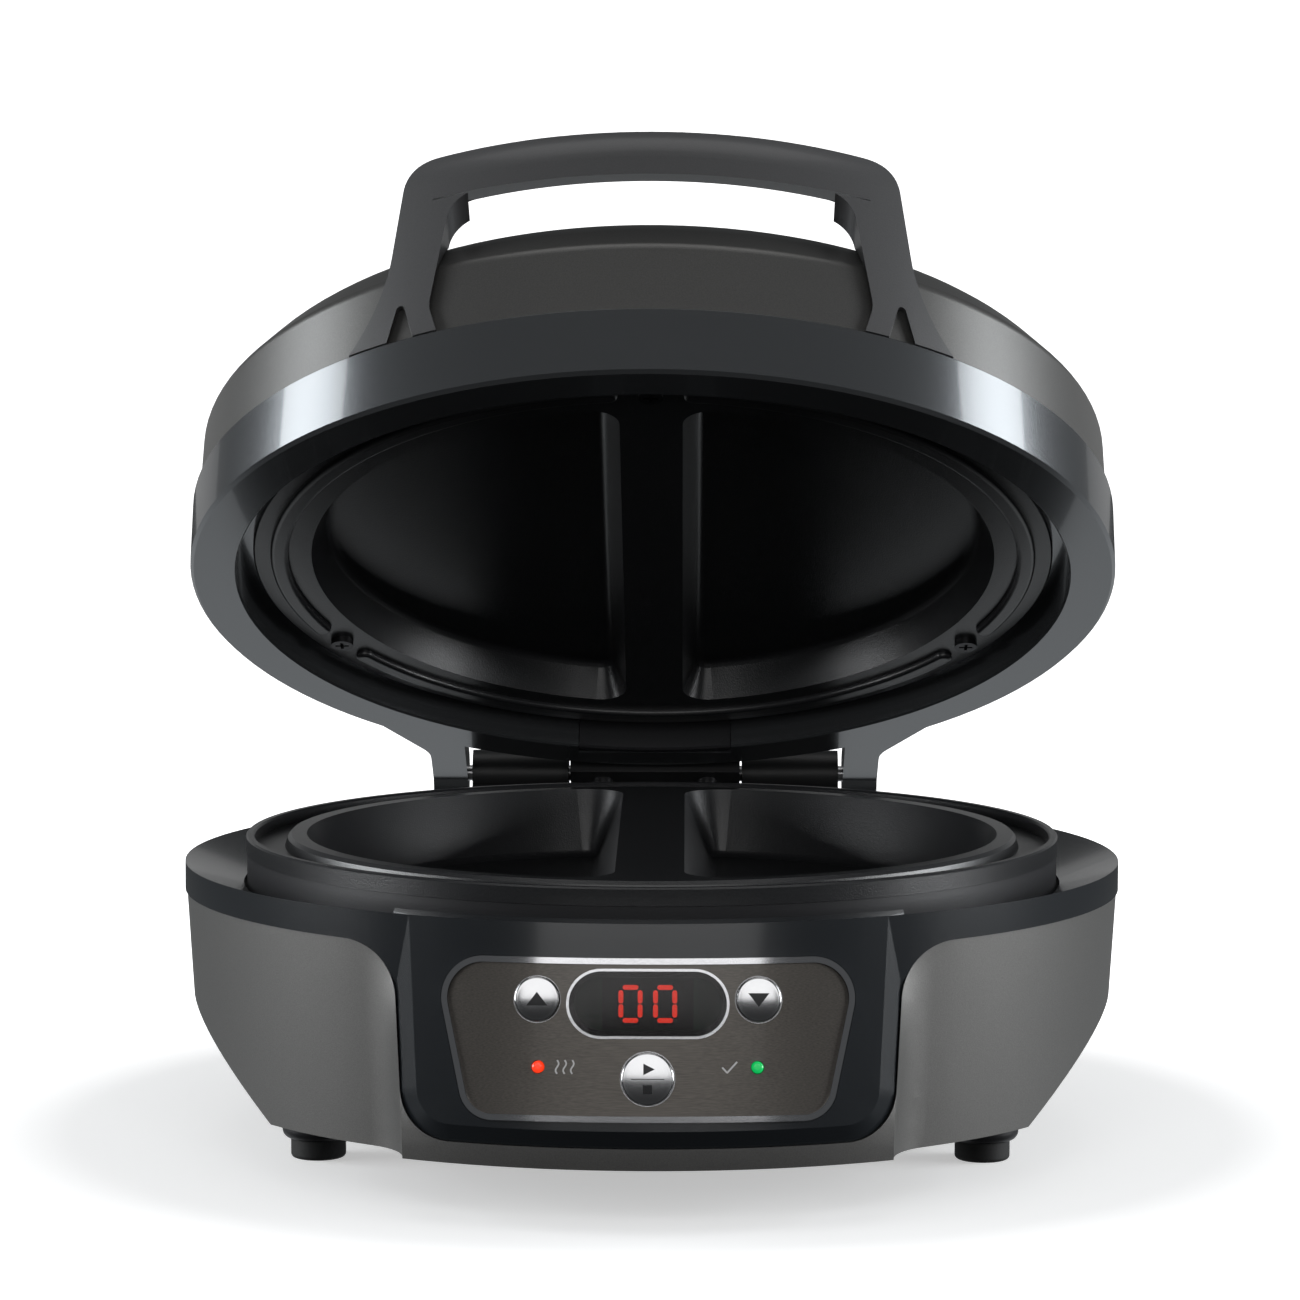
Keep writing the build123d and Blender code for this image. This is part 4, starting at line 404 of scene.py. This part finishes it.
satin_nickel = finish(
    "satin_nickel", (0.66, 0.66, 0.67), 0.2, grain=1400, spread=0.06, relief=0.000004, metallic=1.0
)
print_ink = finish("print_ink", (0.02, 0.02, 0.022), 0.45, grain=1500, spread=0.2, relief=0.000004)
print_white = finish("print_white", (0.7, 0.7, 0.7), 0.45, grain=1500, spread=0.1, relief=0.000004)
cap_rise = 0.0022
cap_crown = 0.0009
cap_edge = 0.0007


def cap_front(x, cap_radius, distance):
    """Height of a cap's dome over the face plane: a parabola that falls by cap_crown to the edge."""
    return cap_rise - face_drop(x) - cap_crown * (distance / cap_radius) ** 2


def button_cap(x, y, cap_radius):
    """A profile turned about the button's axis: crown, rounded edge, skirt, flange, stem and foot."""
    crown = np.linspace(0, cap_radius - cap_edge, 14)
    top = cap_front(x, cap_radius, crown)
    bend = np.linspace(0, math.pi / 2, 7)[1:]
    edge_radius = cap_radius - cap_edge + cap_edge * np.sin(bend)
    edge_top = top[-1] - cap_edge * (1 - np.cos(bend))
    flange = -face_drop(x + math.copysign(cap_radius + 0.0012, x)) - 0.0033
    tail_radius = [cap_radius, cap_radius + 0.0012, cap_radius + 0.0012, 0.002, 0.002, 0]
    stem_end = -0.0091
    tail_out = [flange, flange, flange - 0.0012, flange - 0.0012, stem_end, stem_end]
    radius = np.concatenate([crown, edge_radius, tail_radius])
    out = np.concatenate([top, edge_top, tail_out])
    angle = np.linspace(0, 2 * math.pi, 64, endpoint=False)
    across = x + radius[None, :] * np.cos(angle)[:, None]
    along = y + radius[None, :] * np.sin(angle)[:, None]
    return on_face(across, along, np.broadcast_to(out, across.shape))


def tidy_mesh(mesh, crease=35):
    """Merges doubled points at poles, turns every face outwards and shades smooth up to an angle."""
    work = bmesh.new()
    work.from_mesh(mesh)
    bmesh.ops.remove_doubles(work, verts=work.verts, dist=1e-6)
    bmesh.ops.recalc_face_normals(work, faces=work.faces)
    work.to_mesh(mesh)
    work.free()
    mesh.shade_smooth()
    mesh.set_sharp_from_angle(angle=math.radians(crease))
    return mesh


def printed(name, outline, lift, body, material, thickness=0.00007):
    """A flat printed shape: an outline fanned to its middle, lifted to a surface, with a thin edge."""
    outline = np.array(outline)
    middle = outline.mean(axis=0)
    rings = np.linspace(1, 0, 5)[:, None, None]
    spread = middle + (outline - middle)[None] * rings
    high = on_face(spread[..., 0], spread[..., 1], lift(spread[..., 0], spread[..., 1]) + thickness)
    low = on_face(outline[:, 0], outline[:, 1], lift(outline[:, 0], outline[:, 1]) - thickness)
    inward = spread[::-1]
    back = on_face(inward[..., 0], inward[..., 1], lift(inward[..., 0], inward[..., 1]) - thickness)
    grid = np.concatenate([high[::-1], low[None], back[::-1][1:]], axis=0)
    grid = np.swapaxes(grid, 0, 1)
    piece = surface(name, tidy_mesh(grid_mesh(name, grid, closed_u=True)), material)
    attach(piece, body)
    return piece


def edge_points(corners, steps=6):
    """Points spaced evenly along the straight sides of a closed outline."""
    corners = np.array(corners)
    share = np.linspace(0, 1, steps, endpoint=False)[None, :, None]
    following = np.roll(corners, -1, axis=0)
    return (corners[:, None] * (1 - share) + following[:, None] * share).reshape(-1, 2)


def on_cap(x, y, cap_radius):
    """Lift for a print on a button's dome."""
    return lambda a, b: cap_front(x, cap_radius, np.hypot(a - x, b - y))


for name, x, y, cap_radius in (
    ("button_up", -0.0292, 0.0098, 0.006),
    ("button_down", 0.0292, 0.0098, 0.006),
    ("button_start", 0.0, -0.0111, 0.007),
):
    cap_mesh = grid_mesh(name + "_cap", button_cap(x, y, cap_radius), closed_u=True)
    cap = surface(name + "_cap", tidy_mesh(cap_mesh), satin_nickel)
    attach(cap, name)
    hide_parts(name)

arrow_half_width = 0.0028
arrow_base = -0.0017
arrow_tip = 0.0019
for name, x, y, way in (("button_up", -0.0292, 0.0098, 1), ("button_down", 0.0292, 0.0098, -1)):
    arrow = [
        (x - arrow_half_width, y + arrow_base * way),
        (x + arrow_half_width, y + arrow_base * way),
        (x, y + arrow_tip * way),
    ]
    printed(name + "_arrow", edge_points(arrow, 8), on_cap(x, y, 0.006), name, print_ink)

start_x, start_y = 0.0, -0.0111
for name, corners, steps in (
    ("start_sign", [(-0.0011, 0.0011), (0.0019, 0.0026), (-0.0011, 0.0041)], 6),
    ("start_rule", [(-0.0044, -0.0001), (0.0044, -0.0001), (0.0044, 0.0001), (-0.0044, 0.0001)], 16),
    ("stop_sign", [(-0.0012, -0.0039), (0.0012, -0.0039), (0.0012, -0.0015), (-0.0012, -0.0015)], 6),
):
    outline = edge_points(np.array(corners) + (start_x, start_y), steps)
    printed(name, outline, on_cap(start_x, start_y, 0.007), "button_start", print_ink)

# ---- panel signs -----------------------------------------------------------------------
# White printed signs beside the lamps: three rising waves for heating and a tick for ready.
panel_proud = 0.0003


def on_panel(x):
    """Lift for a print on the panel: the sheet follows the round fascia, panel_proud before it."""
    return panel_proud - face_drop(x)


def stroke(name, path, half_width, material, ink=0.00005):
    """A printed stroke: a path moved half_width to either side, ink above and below the sheet's
    face, with both ends closed."""
    path = np.array(path)
    along = np.gradient(path, axis=0)
    along /= np.linalg.norm(along, axis=1)[:, None]
    aside = np.stack([-along[:, 1], along[:, 0]], axis=1) * half_width
    corners = ((1, 1), (-1, 1), (-1, -1), (1, -1))
    rows = []
    for side, level in corners:
        x, y = (path + side * aside).T
        rows.append(on_face(x, y, on_panel(x) + level * ink))
    body = np.array(rows)
    ends = body.mean(axis=0, keepdims=True).repeat(4, axis=0)
    grid = np.concatenate([ends[:, :1], body, ends[:, -1:]], axis=1)
    piece = surface(name, tidy_mesh(grid_mesh(name, grid, closed_u=True)), material)
    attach(piece, "base")
    return piece


sign_rise = -0.008
wave_half_height = 0.0018
wave_sway = 0.0004
for number, x in enumerate((-0.0238, -0.0218, -0.0198), start=1):
    rise = np.linspace(-wave_half_height, wave_half_height, 25)
    sway = wave_sway * np.sin(rise / wave_half_height * math.pi)
    stroke("heat_wave_%d" % number, np.stack([x + sway, sign_rise + rise], axis=1), 0.00022, print_white)
tick_corners = [(0.0196, sign_rise), (0.0209, sign_rise - 0.0014), (0.0238, sign_rise + 0.0018)]
tick = edge_points(tick_corners, 10)[:20]
stroke("ready_tick", tick, 0.00024, print_white)

# ---- cooking plates --------------------------------------------------------------------
# Cast aluminium with a sprayed black non-stick coat: a satin sheen and a fine orange peel.
nonstick = finish(
    "nonstick", (0.016, 0.0165, 0.018), 0.3, grain=2200, spread=0.9, relief=0.00006, coat=0.15,
    coat_dullness=0.3, specular=0.6,
)
dress(nonstick, "lower_plate", "upper_plate")

black_moulding = finish(
    "black_moulding", (0.018, 0.018, 0.02), 0.4, grain=1600, spread=0.3, relief=0.00003
)
dress(black_moulding, "plate_collar", "rim_insert", "bottom_cover", "cord_gland", "feet")

# ---- lid rim ---------------------------------------------------------------------------
# Moulded band and rim with a high metallic gloss, dark grey.
metallic_gloss = finish(
    "metallic_gloss", (0.13, 0.136, 0.142), 0.24, grain=2500, spread=0.25, relief=0.000006, metallic=0.75,
    coat=0.6, coat_dullness=0.06,
)
dress(metallic_gloss, "lid_rim")

# ---- lid shell -------------------------------------------------------------------------
# Pressed steel dome, stoved in the body's paint; its colour is set darker than the body's as painted
# shade, and its finish a little smoother.
dome_paint_painted_shade = finish(
    "dome_paint_painted_shade", (0.135, 0.133, 0.129), 0.36, grain=3000, spread=0.5, relief=0.000025, metallic=0.7
)
dress(dome_paint_painted_shade, "lid_shell")

# ---- handle ----------------------------------------------------------------------------
# One moulding in dark grey glass-filled nylon with a soft satin face.
grip_nylon = finish(
    "grip_nylon", (0.075, 0.075, 0.077), 0.38, grain=2600, spread=0.35, relief=0.00003, coat=0.1
)
dress(grip_nylon, "handle")

# ---- hinge -----------------------------------------------------------------------------
# Blocks and bracket are black; pins and screws are bright steel.
hinge_paint = finish("hinge_paint", (0.004, 0.004, 0.0045), 0.42, grain=1800, spread=0.4, relief=0.00003)
dress(hinge_paint, "hinge_mount", "hinge_bracket")
plated_steel = finish(
    "plated_steel", (0.5, 0.5, 0.51), 0.28, grain=1500, spread=0.15, relief=0.00001, metallic=1.0
)
black_steel = finish(
    "black_steel", (0.05, 0.05, 0.052), 0.35, grain=1500, spread=0.2, relief=0.00001, metallic=0.9
)
dress(
    plated_steel, "hinge_pins", "hinge_screws", "lower_heat_shield", "upper_heat_shield", "board_screws",
    "collar_screws", "lid_screws", "handle_screws", "foot_screws", "power_screws", "thermal_fuse",
    "lower_element", "upper_element", "lower_plate_screws",
)
dress(black_steel, "bracket_screws", "upper_plate_screws", "cover_screws", "base_screws")

# ---- boards and parts inside -------------------------------------------------------------
# Green glass-epoxy boards with black and white moulded parts.
board_green = finish("board_green", (0.02, 0.12, 0.05), 0.35, grain=800, spread=0.4, coat=0.4)
dress(board_green, "control_board", "power_board")
part_black = finish("part_black", (0.02, 0.02, 0.02), 0.45, grain=1200, spread=0.3)
dress(part_black, "tact_switches", "transformer", "relay")
ceramic_white = finish("ceramic_white", (0.65, 0.62, 0.55), 0.35, grain=900, spread=0.15, coat=0.3)
dress(ceramic_white, "terminal_block", "lower_thermostat", "upper_thermostat")

# ---- feet ------------------------------------------------------------------------------
# Moulded feet with soft rubber pads pushed into them.
pad_rubber = finish("pad_rubber", (0.02, 0.02, 0.02), 0.7, grain=1500, spread=0.5, relief=0.00004)
dress(pad_rubber, "foot_pads")
